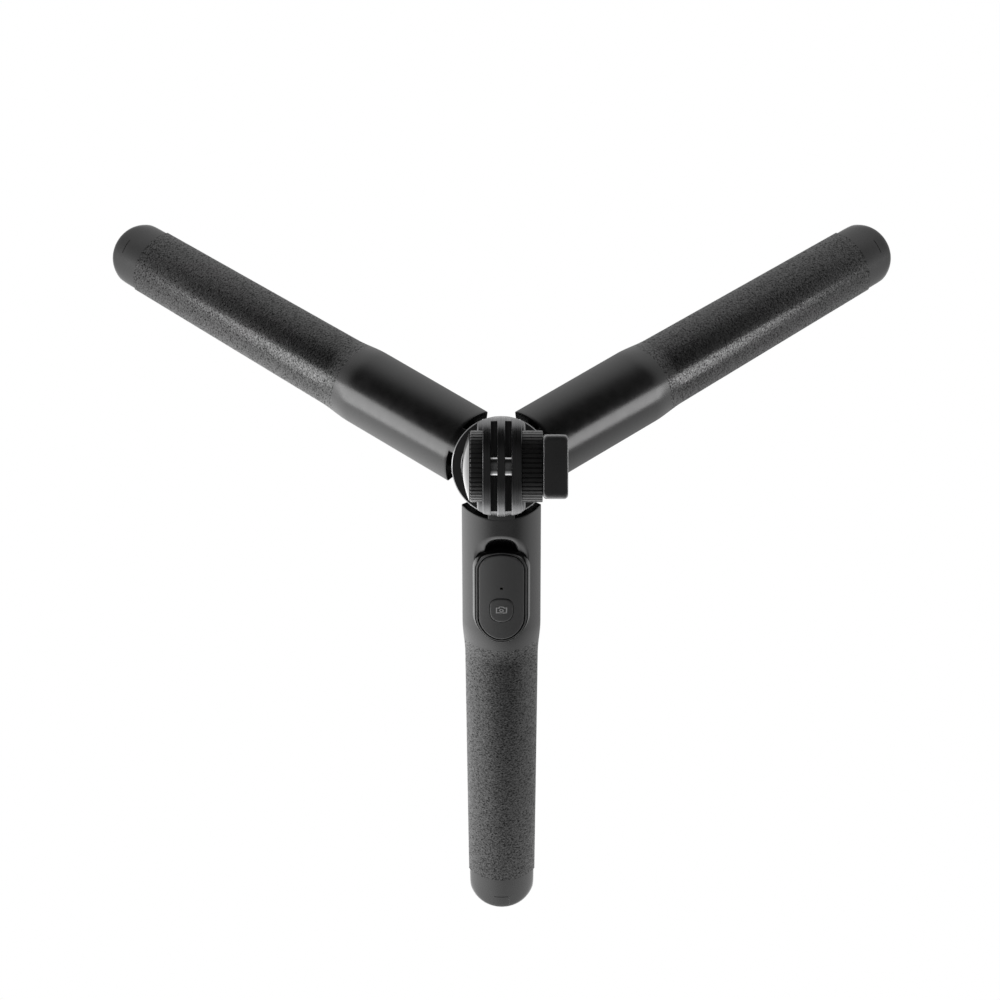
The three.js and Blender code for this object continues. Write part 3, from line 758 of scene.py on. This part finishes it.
def end_cap(i):
    place = leg_place(i)
    body = LEG_BODIES[i]
    cap = loft(f"leg_{i + 1}_end_cap", tip_rings(FOOT_FLAT - FOOT_PROUD), place)
    gap = FOOT_HALF + FIT
    through = 10
    cut(cap, foot_band("slot", gap, through, FOOT_START - FIT, place))
    seam_floor = FOOT_SEAM_DEPTH - GRIP_END_R
    cut(cap, foot_band("seam", gap, seam_floor, FOOT_START - FOOT_SEAM, place))
    join(cap, cap_spigot(place))
    pad = loft(f"leg_{i + 1}_foot_pad", tip_rings(FOOT_FLAT), place)
    combine(pad, foot_band("band", FOOT_HALF, through, FOOT_START, place), "INTERSECT")
    finish(cap, SATIN, body, f"end_cap_{i + 1}")
    finish(pad, SATIN, body, f"foot_{i + 1}", slot="pad_rubber")


# ---- Remote shutter ----

def pill(half_width, start, end, start_round, end_round):
    """An oblong with long rounded ends, as (x, d) points with the way out at each."""
    count = 200
    points = []
    for n in range(count):
        a = math.tau * n / count
        if math.cos(a) > 0:
            long = start_round
            d = start + long * (1 - math.cos(a))
        else:
            long = end_round
            d = end - long * (1 + math.cos(a))
        normal = Vector((math.sin(a) / half_width, -math.cos(a) / long)).normalized()
        points.append((half_width * math.sin(a), d, normal.x, normal.y))
    return points


def remote_outline(grow=0.0):
    end = ROUND_END + grow
    return pill(REMOTE_HALF + grow, REMOTE_START - grow, REMOTE_END + grow, end, end)


def surface_rho(x, d):
    return math.sqrt(max(1.0, outer_radius(d) ** 2 - x**2))


def scoop_depth(nd):
    """How deep the finger scoop starts, deepest where the pocket's edge faces the hub."""
    least = 0.3
    shallow = smooth_step((-nd - 0.05) / 0.6)
    deep = smooth_step((-nd - 0.7) / 0.3)
    return least + (SCOOP_EDGE - least) * shallow + (SCOOP_DEPTH - SCOOP_EDGE) * deep


def pocket_cutter(place):
    """The remote's pocket, with upright walls and a finger scoop at the hub end."""
    inner = remote_outline(POCKET_GAP)
    outer = pill(REMOTE_HALF + POCKET_GAP + 0.5, REMOTE_START - POCKET_GAP - SCOOP_LENGTH,
                 REMOTE_END + POCKET_GAP + 0.3, ROUND_END + 2, ROUND_END + POCKET_GAP)
    steps = 20
    shares = [min(step / steps, 0.98) for step in range(steps + 1)]
    slope = [(share, 0.5 + 0.5 * math.cos(math.pi * share), 0) for share in shares]
    above = (1.12, 0, 1.5)
    rings = [[(x, -POCKET_FLOOR, -d) for x, d, nx, nd in inner]]
    for reach, sunk, lift in slope + [above]:
        ring = []
        for (x, d, nx, nd), (far_x, far_d, *_) in zip(inner, outer):
            px = x + (far_x - x) * reach
            pd = d + (far_d - d) * reach
            ring.append((px, scoop_depth(nd) * sunk - surface_rho(px, pd) - lift, -pd))
        rings.append(ring)
    rings.append([(x, -FAR, z) for x, y, z in rings[-1]])
    return loft("pocket", rings, place)


def pocket_bezel(place):
    """A raised bead around the pocket. It fades out where the finger scoop runs in."""
    outline = remote_outline(POCKET_GAP)
    profile = [(0.0, -1.6), (0.0, 0.8), (0.04, 0.95), (0.14, 1.0), (0.34, 0.92), (0.5, 0.72), (0.7, 0.42),
               (0.88, 0.12), (1.0, -0.1), (1.0, -1.6)]
    rings = []
    for x, d, nx, nd in outline:
        fade = 1 - smooth_step((-nd - 0.3) / 0.5)
        foot = smooth_step((nd - 0.1) / 0.7)
        width = BEZEL_WIDTH * (1 - 0.6 * foot) * (0.3 + 0.7 * fade)
        height = BEZEL_HEIGHT * (1 - 0.85 * foot)
        ring = []
        for out, up in profile:
            px = x + nx * out * width
            pd = d + nd * out * width
            lift = up * height if up < 0 else up * height * fade - 1.2 * (1 - fade)
            ring.append((px, -(surface_rho(px, pd) + lift), -pd))
        rings.append(ring)
    return loft("pocket_bezel", rings, place, closed=True)


def face_rho(x):
    """Height of the remote's crowned face."""
    return FACE_TOP - FACE_CROWN * x**2


def drawn_in(outline, inset, share=1.0):
    """An outline pulled in by an inset and then towards the remote's middle line, as (x, d) points."""
    low = REMOTE_START + ROUND_END
    high = REMOTE_END - ROUND_END
    points = []
    for x, d, nx, nd in outline:
        pulled = d - nd * inset
        spine = min(high, max(low, pulled))
        points.append(((x - nx * inset) * share, spine + (pulled - spine) * share))
    return points


def face_ring(points, drop):
    """Points at some depth below the remote's face."""
    return [(x, drop - face_rho(x), -d) for x, d in points]


def level_ring(points, rho):
    return [(x, -rho, -d) for x, d in points]


def remote_rim(place):
    outline = remote_outline()
    groove = RIM_WIDTH + GROOVE_WIDTH
    groove_floor = 1.0
    profile = [(0.0, 1.6), (0.0, 0.3), (0.04, 0.18), (0.12, 0.1), (0.3, 0.06), (RIM_WIDTH - 0.08, 0.06),
               (RIM_WIDTH, 0.14), (RIM_WIDTH, groove_floor), (groove, groove_floor)]
    rings = [level_ring(drawn_in(outline, 0.5), REMOTE_FLOOR)]
    rings.append(level_ring(drawn_in(outline, 0.1), REMOTE_FLOOR + 0.3))
    rings += [face_ring(drawn_in(outline, inset), drop) for inset, drop in profile]
    rings += [face_ring(drawn_in(outline, groove, share), groove_floor) for share in (0.7, 0.4, 0.0)]
    rim = loft("remote_rim", rings, place)
    cut(rim, button_hole(0.25, place))
    finish(rim, REMOTE, "remote", "remote_case")


def remote_face(place):
    outline = remote_outline()
    edge = RIM_WIDTH + GROOVE_WIDTH
    profile = [(edge, 0.95), (edge, 0.22), (edge + 0.08, 0.07), (edge + 0.24, 0)]
    rings = [face_ring(drawn_in(outline, inset), drop) for inset, drop in profile]
    rings += [face_ring(drawn_in(outline, edge + 0.24, share), 0) for share in np.linspace(0.95, 0, 14)]
    face = loft("remote_face", rings, place)
    cut(face, button_hole(0.17, place))
    at_led = place @ on_front(LED_AT)
    cut(face, turned("lens_hole", rod_outline(LED_R + 0.07, 0, FAR), at_led, 32))
    finish(face, REMOTE, "remote", "remote_cover")
    low = 16.6
    crown = [(LED_R, low + 0.7), (0.3, low + 0.8), (0, low + 0.82)]
    lens = turned("remote_lens", [(0, low), (LED_R, low)] + crown, at_led, 32)
    finish(lens, GLOSS, "remote", "remote_led")


def on_front(d):
    """Puts a body made about Z on the front of a closed leg, pointing out, at distance d."""
    return Matrix.Translation((0, 0, -d * MM)) @ Matrix.Rotation(math.pi / 2, 4, "X")


def button_outline(grow):
    """A squarish oval, as (x, d) points."""
    count = 96
    power = 2 / 2.7
    points = []
    for n in range(count):
        a = math.tau * n / count
        c, s = math.cos(a), math.sin(a)
        x = (BUTTON_HALF[0] + grow) * math.copysign(abs(s) ** power, s)
        d = BUTTON_AT - (BUTTON_HALF[1] + grow) * math.copysign(abs(c) ** power, c)
        points.append((x, d))
    return points


def button_hole(clearance, place):
    outline = button_outline(clearance)
    return loft("hole", [level_ring(outline, rho) for rho in (10, 40)], place)


def shutter_button(place):
    edge = 0.3
    rings = []
    for inset, drop in ((0.0, 2.2), (0.0, 0.15), (0.08, 0.02), (edge, -BUTTON_PROUD)):
        rings.append(face_ring(button_outline(-inset), drop))
    for share in np.linspace(0.9, 0.0, 10):
        points = [(x * share, BUTTON_AT + (d - BUTTON_AT) * share) for x, d in button_outline(-edge)]
        rings.append(face_ring(points, -BUTTON_PROUD))
    button = loft("shutter_key", rings, place)
    finish(button, REMOTE, "button", "shutter_button")


def divided(path, longest):
    """A closed path with points added so that no step is longer than the limit."""
    finer = []
    for k, point in enumerate(path):
        start = Vector(point)
        end = Vector(path[(k + 1) % len(path)])
        parts = max(1, math.ceil((end - start).length / longest))
        finer += [tuple(start.lerp(end, n / parts)) for n in range(parts)]
    return finer


def stroke(name, path, width, place):
    """A thin printed line around a closed path of (x, d) points, lying on the button."""
    path = divided(path, 0.3)
    count = len(path)
    rings = []
    for k, point in enumerate(path):
        here = Vector(point)
        ahead = (Vector(path[(k + 1) % count]) - here).normalized()
        behind = (here - Vector(path[k - 1])).normalized()
        mitre = (ahead + behind).normalized()
        across = Vector((-mitre.y, mitre.x)) * width / 2 / max(0.5, mitre.dot(ahead))
        ring = []
        for side, lift in ((-1, 0.06), (1, 0.06), (1, 0.12), (-1, 0.12)):
            x, d = here + across * side
            ring.append((x, -(face_rho(x) + lift), -d))
        rings.append(ring)
    return loft(name, rings, place, closed=True)


def camera_mark(place):
    """A plain camera pictogram: a body with a viewfinder hump, and a lens ring."""
    half_w, half_h = MARK_HALF
    roof = -half_h + 0.3
    hump = roof - 0.6
    body = [(-half_w, half_h), (-half_w, roof), (-1.0, roof), (-0.62, hump),
            (0.62, hump), (1.0, roof), (half_w, roof), (half_w, half_h)]
    centre = BUTTON_AT - 0.2
    outline = stroke("mark_body", [(x, centre + d) for x, d in body], MARK_LINE, place)
    turns = np.linspace(0, math.tau, 24, False)
    ring = [(0.66 * math.sin(a), BUTTON_AT + 0.72 * math.cos(a)) for a in turns]
    lens = stroke("mark_lens", ring, 0.42, place)
    for piece in (outline, lens):
        finish(piece, INK, "button")


# ---- Hub and pole ----

def hub():
    low, high = box_mm("hub")
    radius = high.x
    chamfer = 2
    outline = [(HUB_BORE, low.z), (radius - chamfer, low.z), (radius, low.z + chamfer), (radius, high.z),
               (HUB_BORE, high.z)]
    body = turned("hub_body", round_corners(outline, 0.4, True), segments=144)
    for i in range(3):
        slot = block("slot", (-HUB_SLOT_HALF, -FAR, low.z - 5), (HUB_SLOT_HALF, -HUB_SLOT_START, high.z + 5),
                     third_turn(i))
        cut(body, slot)
    finish(body, SATIN, "stand", "hub")


def hub_cap():
    """A dark cap whose outer edge is a band of polished metal with a bevel on top."""
    low, high = box_mm("hub_cap")
    radius = high.x
    bevel = RIM_BEVEL
    inner = radius - 0.3
    outline = [(HUB_BORE, low.z), (inner, low.z), (inner, high.z - bevel), (radius - bevel, high.z - 0.04),
               (radius - bevel - 0.1, high.z), (HUB_BORE, high.z)]
    cap = turned("collar_cap", outline, segments=192)
    finish(cap, COLLAR, "stand", "hub_cap", sharp_degrees=50)
    bottom = low.z + 0.2
    outline = [(inner + 0.02, bottom), (radius, bottom), (radius, high.z - bevel * 1.25),
               (radius - 0.06, high.z - bevel), (radius - bevel + 0.08, high.z - 0.05),
               (radius - bevel, high.z - 0.1)]
    rim = turned("collar_rim", outline, segments=192)
    finish(rim, RIM, "stand", sharp_degrees=50)


def pole():
    bodies = ["stand"] + [f"stage_{k}" for k in range(2, 7)]
    for k, body in enumerate(bodies):
        node = f"tube_{k + 1}"
        low, high = box_mm(node)
        outer = high.x
        inner = outer - TUBE_WALL
        outline = [(inner, low.z), (outer, low.z), (outer, high.z), (inner, high.z)]
        piece = turned(f"pole_{node}", round_corners(outline, 0.18, True))
        finish(piece, STEEL, body, node)
    low, high = box_mm("pole_plug")
    outline = stepped_rod(high.x, low.z, low.z + PLUG_FLANGE, PLUG_R, high.z)
    plug = turned("pole_end_plug", round_corners(outline, 0.5, False))
    finish(plug, SATIN, "stand", "pole_plug")


def hinge_pins():
    outline = round_corners(rod_outline(PIN_R, -PIN_HALF, PIN_HALF), 0.3, False)
    line = Matrix.Translation(PIN * MM) @ along_x()
    for i in range(3):
        pin = turned(f"leg_{i + 1}_pin", outline, third_turn(i) @ line, 48)
        finish(pin, PINS, "stand", f"hinge_pin_{i + 1}")


# ---- Head ----

def yoke_slice(x, inset, bottom, centre):
    """One upright slice across the yoke: straight front and back, and a top rounded about a height."""
    half = math.sqrt(YOKE_R**2 - x**2) - inset
    radius = YOKE_R - inset
    corner = math.asin(half / radius)
    arc_steps = 48
    rises = [bottom + inset + (centre - bottom) * k / 8 for k in range(8)]
    ring = [(x, -half, z) for z in rises]
    for k in range(arc_steps + 1):
        a = -corner + 2 * corner * k / arc_steps
        ring.append((x, radius * math.sin(a), centre + radius * math.cos(a)))
    return ring + [(x, half, z) for z in reversed(rises)]


def yoke_plate(name, x0, x1, bottom, centre, edges=(0.25, 0.25)):
    """An upright plate across the yoke, with its two faces' edges rounded by their own amounts."""
    near, far = edges
    shares = quarter_round(5)
    spans = [(x0 + near * along, near * inset) for along, inset in shares]
    spans += [(x, 0) for x in np.linspace(x0 + near, x1 - far, 6)[1:-1]]
    spans += [(x1 - far * along, far * inset) for along, inset in reversed(shares)]
    return loft(name, [yoke_slice(x, inset, bottom, centre) for x, inset in spans])


def wheel_pocket(x0, x1):
    """The room for a wheel beside the prongs, open to the top."""
    room = turned("pocket", rod_outline(POCKET_R, x0, x1), along_x(AXLE_Z), 128)
    join(room, block("above", (x0, -POCKET_R, AXLE_Z), (x1, POCKET_R, AXLE_Z + FAR)))
    return room


def yoke():
    low, high = box_mm("yoke")
    near, far = PRONG_SLOT
    floor = AXLE_Z - PRONG_DEPTH
    root = floor - 6
    body = yoke_plate("head_yoke", -near, near, root, AXLE_Z)
    for x0, x1 in ((KNOB_POCKET, -far), (far, RING_POCKET)):
        join(body, yoke_plate("prong", x0, x1, root, AXLE_Z))
    for x0, x1, edges in ((-YOKE_HALF, KNOB_POCKET + 1, (0.8, 0.1)),
                          (RING_POCKET - 1, YOKE_HALF, (0.1, 0.8))):
        join(body, yoke_plate("shoulder", x0, x1, low.z + 5, YOKE_SHOULDER_Z, edges))
    lower = yoke_plate("lower", -YOKE_HALF, YOKE_HALF, low.z, YOKE_SHOULDER_Z)
    cut(lower, block("trim", (-FAR, -FAR, floor), (FAR, FAR, high.z + 10)))
    join(body, lower)
    outline = round_corners(rod_outline(YOKE_FOOT_R, low.z, low.z + 4), 0.5, False)
    join(body, turned("foot", outline, segments=128))
    cut(body, wheel_pocket(-FAR, KNOB_POCKET))
    cut(body, wheel_pocket(RING_POCKET, FAR))
    cut(body, turned("bore", rod_outline(AXLE_BORE, -FAR, FAR), along_x(AXLE_Z)))
    well = stepped_rod(WELL_R, low.z - 1, low.z + WELL_DEPTH, WELL_NECK_R, WELL_TOP)
    cut(body, turned("well", well))
    finish(body, HEAD, "head", "yoke")


def axle():
    low, high = box_mm("clamp_axle")
    outline = round_corners(rod_outline(AXLE_R, low.x, high.x), 0.3, False)
    finish(turned("axle_bar", outline, along_x(AXLE_Z)), PINS, "clamp", "clamp_axle")


def knurl(angle):
    """How deep the knurling is cut at an angle, between 0 and 1: wide lands and narrow grooves."""
    phase = (angle * KNURL_COUNT / math.tau) % 1
    return smooth_step(1 - abs(phase - 0.5) / 0.2)


def knurled(outline):
    """Rings of a wheel about the clamp's axle, from (radius, x, how much knurling shows) corners."""
    count = KNURL_COUNT * 10
    rings = []
    for radius, x, share in outline:
        ring = []
        for k in range(count):
            a = math.tau * k / count
            r = radius - KNURL_DEPTH * share * knurl(a)
            ring.append((x, r * math.cos(a), AXLE_Z + r * math.sin(a)))
        rings.append(ring)
    return rings


def tension_knob():
    low, high = box_mm("tension_knob")
    radius = WHEEL_R
    boss = 4.6
    recess = low.x + 0.6
    outline = [
        (0, low.x, 0), (radius - 1, low.x, 0), (radius - 0.75, low.x + 0.05, 0.3),
        (radius - 0.2, low.x + 0.4, 1), (radius, low.x + 0.75, 1), (radius, KNOB_FACE - 0.15, 1),
        (radius - 0.15, KNOB_FACE, 1), (radius - 1.2, KNOB_FACE, 0), (boss, KNOB_FACE, 0),
        (boss, high.x, 0), (WHEEL_BORE, high.x, 0), (WHEEL_BORE, recess, 0), (0, recess, 0),
    ]
    finish(loft("knob_wheel", knurled(outline)), KNURLED, "knob", "tension_knob")


def knob_cap():
    """A shallow ball-shaped cap over the knob."""
    low, high = box_mm("knob_cap")
    rise = high.x - low.x
    ball = (DOME_EDGE_R**2 + rise**2) / (2 * rise)
    steps = 16
    outline = [(0, high.x)]
    for k in range(steps + 1):
        r = DOME_EDGE_R * (1 - k / steps)
        outline.append((r, high.x + (ball - rise) - math.sqrt(ball**2 - r**2)))
    dome = turned("knob_dome", outline, along_x(AXLE_Z), 160)
    finish(dome, GLOSS, "knob", "knob_cap", sharp_degrees=50)


def clamp_ring():
    low, high = box_mm("clamp_ring")
    radius = WHEEL_R
    outline = [
        (radius - 1.2, low.x, 0), (radius - 0.15, low.x, 1), (radius, low.x + 0.15, 1),
        (radius, high.x - 0.2, 1), (radius - 0.2, high.x, 1), (radius - 1.2, high.x, 0),
        (WHEEL_BORE, high.x, 0), (WHEEL_BORE, low.x, 0),
    ]
    ring = loft("ring_wheel", knurled(outline), closed=True)
    finish(ring, KNURLED, "clamp", "clamp_ring")


# ---- Phone clamp ----

def slab_ring(x0, x1, half_y, corner, z, inset_x, inset_y):
    """A rounded rectangle at height z, pulled in by its own amount in x and y."""
    corner = min(corner, (x1 - x0) / 2.2)
    ring = []
    for cx, cy, start in ((x1 - corner, half_y - corner, 0), (x0 + corner, half_y - corner, 1),
                          (x0 + corner, -half_y + corner, 2), (x1 - corner, -half_y + corner, 3)):
        for k in range(7):
            a = (start + k / 6) * math.pi / 2
            ring.append((cx + corner * math.cos(a), cy + corner * math.sin(a)))
    middle = (x0 + x1) / 2
    half_x = (x1 - x0) / 2
    return [(middle + (x - middle) * (1 - inset_x / half_x), y * (1 - inset_y / half_y), z) for x, y in ring]


def slab(name, x0, x1, half_y, corner, z0, z1, low_edge, high_edge):
    """A slab with its lower and upper edges rounded by (x amount, y amount, height)."""
    shares = quarter_round(6)
    rings = []
    for level, inward, edge, steps in ((z0, 1, low_edge, shares), (z1, -1, high_edge, reversed(shares))):
        for along, inset in steps:
            z = level + inward * edge[2] * along
            rings.append(slab_ring(x0, x1, half_y, corner, z, edge[0] * inset, edge[1] * inset))
    return loft(name, rings)


def clamp():
    low, high = box_mm("clamp_back")
    half_y = high.y
    jaw_top = low.z + JAW_T
    body = slab("clamp_frame", low.x, low.x + BACK_T, half_y, 1.2, low.z + 1, high.z, SOFT_EDGE, SOFT_EDGE)
    jaw = slab("jaw", low.x, high.x, half_y, 2.5, low.z, jaw_top, (0.3, 1.6, 3.2), SOFT_EDGE)
    join(body, jaw)
    lip = slab("lip", high.x - LIP_T, high.x, half_y - LIP_IN, 0.3, low.z + 2, jaw_top + 1.7,
               SHARP_EDGE, LIP_EDGE)
    join(body, lip)
    roof = high.z - 2
    outline = stepped_rod(CHANNEL_R, jaw_top, roof, CHANNEL_NECK_R, roof + 20)
    for side in (-1, 1):
        spot = Matrix.Translation(((low.x + BACK_T / 2) * MM, side * ROD_Y * MM, 0))
        cut(body, turned("channel", outline, spot, 32))
    finish(body, CLAMP, "clamp", "clamp_back")


def sliding_jaw():
    low, high = box_mm("sliding_jaw")
    bottom = high.z - JAW_T
    body = slab("upper_jaw", low.x, high.x, high.y, 1.6, bottom, high.z, SOFT_EDGE, (0.3, 2.4, 3.4))
    lip = slab("lip", high.x - LIP_T, high.x, high.y - LIP_IN, 0.3, low.z, bottom + 1.5,
               LIP_EDGE, SHARP_EDGE)
    join(body, lip)
    finish(body, CLAMP, "jaw", "sliding_jaw")


def jaw_pad(node, body):
    """A rubber pad on a jaw, with a row of ribs across it."""
    low, high = box_mm(node)
    base, out = (low.z, 1) if node == "lower_pad" else (high.z, -1)
    steps = PAD_RIBS * 8
    edge = 0.15
    rings = []
    for k in range(steps + 1):
        y = low.y + (high.y - low.y) * k / steps
        end = min(1, min(k, steps - k) / 3)
        rib = RIB_DEPTH * (0.5 - 0.5 * math.cos(math.tau * PAD_RIBS * k / steps))
        height = (high.z - low.z) * (0.75 + 0.25 * end) - rib
        top = base + out * height
        side = base + out * (height - edge)
        rings.append([(low.x, y, base), (high.x, y, base), (high.x, y, side), (high.x - edge, y, top),
                      (low.x + edge, y, top), (low.x, y, side)])
    finish(loft(f"{node}_ribbed", rings), RUBBER, body, node)


def guide_rod(number):
    node = f"guide_rod_{number}"
    low, high = box_mm(node)
    outline = stepped_rod(ROD_FOOT_R, low.z, low.z + ROD_FOOT_T, ROD_R, high.z)
    rod = turned(f"jaw_rod_{number}", round_corners(outline, 0.12, False), upright_at(low, high), 32)
    finish(rod, PINS, "jaw", node)


def upright_at(low, high):
    """Puts a body made about Z in the middle of a box, seen from above."""
    middle = (low + high) / 2 * MM
    return Matrix.Translation((middle.x, middle.y, 0))


def spring(number):
    low, high = box_mm(f"clamp_spring_{number}")
    wire = SPRING_WIRE_R
    radius = (high.x - low.x) / 2 - wire
    length = high.z - low.z
    steps = SPRING_COILS * 20
    rings = []
    for k in range(steps + 1):
        a = math.tau * SPRING_COILS * k / steps
        z = low.z + wire + (length - 2 * wire) * k / steps
        ring = []
        for n in range(8):
            b = math.tau * n / 8
            r = radius + wire * math.cos(b)
            ring.append((r * math.cos(a), r * math.sin(a), z + wire * math.sin(b)))
        rings.append(ring)
    coil = loft(f"jaw_spring_{number}", rings, upright_at(low, high))
    finish(coil, PINS, "clamp", f"clamp_spring_{number}")
    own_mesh(coil)


# ---- CAD nodes that stay as they are ----

def carry_over():
    for name in ("hub_screw_1", "hub_screw_2", "hub_screw_3", "friction_washer", "remote_cell",
                 "shutter_switch", "remote_board"):
        node = frame["nodes"][name]
        paint(node, BOARD if name == "remote_board" else PINS)
        weld = node.modifiers.new("weld", "WELD")
        weld.merge_threshold = 1e-6
        bevel = node.modifiers.new("bevel", "BEVEL")
        bevel.width = 0.00012
        bevel.segments = 2
        bevel.limit_method = "ANGLE"
        bevel.angle_limit = math.radians(50)


# ---- Stage, light and camera ----

def worked_out(tree, kind, operation, output, *values):
    """The result of a maths node whose inputs are other nodes' outputs or plain values."""
    node = tree.nodes.new(kind)
    node.operation = operation
    for socket, value in zip(node.inputs, values):
        if isinstance(value, bpy.types.NodeSocket):
            tree.links.new(value, socket)
        else:
            socket.default_value = value
    return node.outputs[output]


def light_up(tree, shader, output, strength, colour):
    """Gives off light of some strength and colour, and looks plain white to the camera."""
    lit = tree.nodes.new(shader)
    lit.inputs["Color"].default_value = colour
    seen = tree.nodes.new(shader)
    seen.inputs["Color"].default_value = WHITE
    path = tree.nodes.new("ShaderNodeLightPath")
    mix = tree.nodes.new("ShaderNodeMixShader")
    link = tree.links.new
    link(strength, lit.inputs["Strength"])
    link(path.outputs["Is Camera Ray"], mix.inputs["Fac"])
    link(lit.outputs[0], mix.inputs[1])
    link(seen.outputs[0], mix.inputs[2])
    link(mix.outputs["Shader"], tree.nodes.new(output).inputs["Surface"])


def floor_material():
    """A pale floor whose light falls off with distance and is stronger to the left and front."""
    material = bpy.data.materials.new("floor")
    material.use_nodes = True
    tree = material.node_tree
    tree.nodes.clear()
    place = tree.nodes.new("ShaderNodeTexCoord").outputs["Object"]
    distance = worked_out(tree, "ShaderNodeVectorMath", "LENGTH", "Value", place)
    near = map_range(tree, distance, (0.4, 1.5), (1.0, 0.03))
    aim = worked_out(tree, "ShaderNodeVectorMath", "NORMALIZE", "Vector", place)
    side = worked_out(tree, "ShaderNodeVectorMath", "DOT_PRODUCT", "Value", aim, (-0.8, -0.6, 0))
    glow = map_range(tree, side, (0.2, 0.95), (0.0, 1.15), "SMOOTHSTEP")
    strength = worked_out(tree, "ShaderNodeMath", "ADD", "Value", glow, near)
    light_up(tree, "ShaderNodeEmission", "ShaderNodeOutputMaterial", strength, WHITE)
    return material


def floor():
    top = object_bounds()[0].z / MM - 0.02
    size = 2200
    ground = turned("floor", rod_outline(size, top - 5, top), segments=64)
    paint(ground, floor_material())
    ground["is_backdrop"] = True


def panel(name, position, size, strength):
    """An upright soft box that faces the pole, lit but not seen by the camera."""
    light = bpy.data.lights.new(name, "AREA")
    light.shape = "RECTANGLE"
    light.size, light.size_y = size
    light.energy = strength * size[0] * size[1] * math.pi
    obj = new_object(name, light)
    obj.location = position
    aim = Vector((0, 0, position[2])) - Vector(position)
    obj.rotation_euler = aim.to_track_quat("-Z", "Y").to_euler()
    obj.visible_camera = False


def world():
    """Dark overhead, a soft front light low down, and white wherever the camera sees past the floor."""
    scene_world = bpy.data.worlds.new("studio")
    bpy.context.scene.world = scene_world
    scene_world.use_nodes = True
    tree = scene_world.node_tree
    tree.nodes.clear()
    place = tree.nodes.new("ShaderNodeTexCoord")
    split = tree.nodes.new("ShaderNodeSeparateXYZ")
    tree.links.new(place.outputs["Generated"], split.inputs["Vector"])
    height = split.outputs["Z"]
    overhead = map_range(tree, height, (0.5, 0.95), (0.02, 0.1), "SMOOTHSTEP")
    toward_front = map_range(tree, split.outputs["Y"], (-0.9, -0.1), (0.45, 0.0), "SMOOTHSTEP")
    low_down = map_range(tree, height, (0.15, 0.75), (1.0, 0.0), "SMOOTHSTEP")
    front = worked_out(tree, "ShaderNodeMath", "MULTIPLY", "Value", toward_front, low_down)
    strength = worked_out(tree, "ShaderNodeMath", "ADD", "Value", overhead, front)
    light_up(tree, "ShaderNodeBackground", "ShaderNodeOutputWorld", strength, WORLD_GREY)


def camera():
    """Nearly straight down from well above, so that the tripod is seen in plan."""
    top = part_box("hub_cap")[1].z
    height = 2.58
    view_width = 0.381
    eye = Vector((0.0027, 0.0157, top + height))
    target = Vector((-0.0005, -0.013, top))
    data = bpy.data.cameras.new("camera")
    data.sensor_width = 36
    data.lens = data.sensor_width * height / view_width
    obj = new_object("camera", data)
    obj.location = eye
    back = (eye - target).normalized()
    right = Vector((0, 1, 0)).cross(back).normalized()
    obj.rotation_euler = Matrix((right, back.cross(right), back)).transposed().to_euler()
    bpy.context.scene.camera = obj


# ---- The whole ----

for index in range(3):
    leg_shell(index)
    leg_cover(index)
    grip(index)
    end_cap(index)
for build in (remote_rim, remote_face, shutter_button, camera_mark):
    build(leg_place(0))
for build in (hub, hub_cap, pole, hinge_pins, yoke, axle, tension_knob, knob_cap, clamp_ring, clamp,
              sliding_jaw):
    build()
jaw_pad("lower_pad", "clamp")
jaw_pad("upper_pad", "jaw")
for index in (1, 2):
    guide_rod(index)
    spring(index)
carry_over()
world()
floor()
panel("left_box", (-0.45, 0.05, 0.15), (0.16, 0.3), 4.4)
panel("right_box", (0.45, 0.05, 0.15), (0.13, 0.3), 4.7)
camera()
bpy.context.scene.view_settings.view_transform = "Standard"
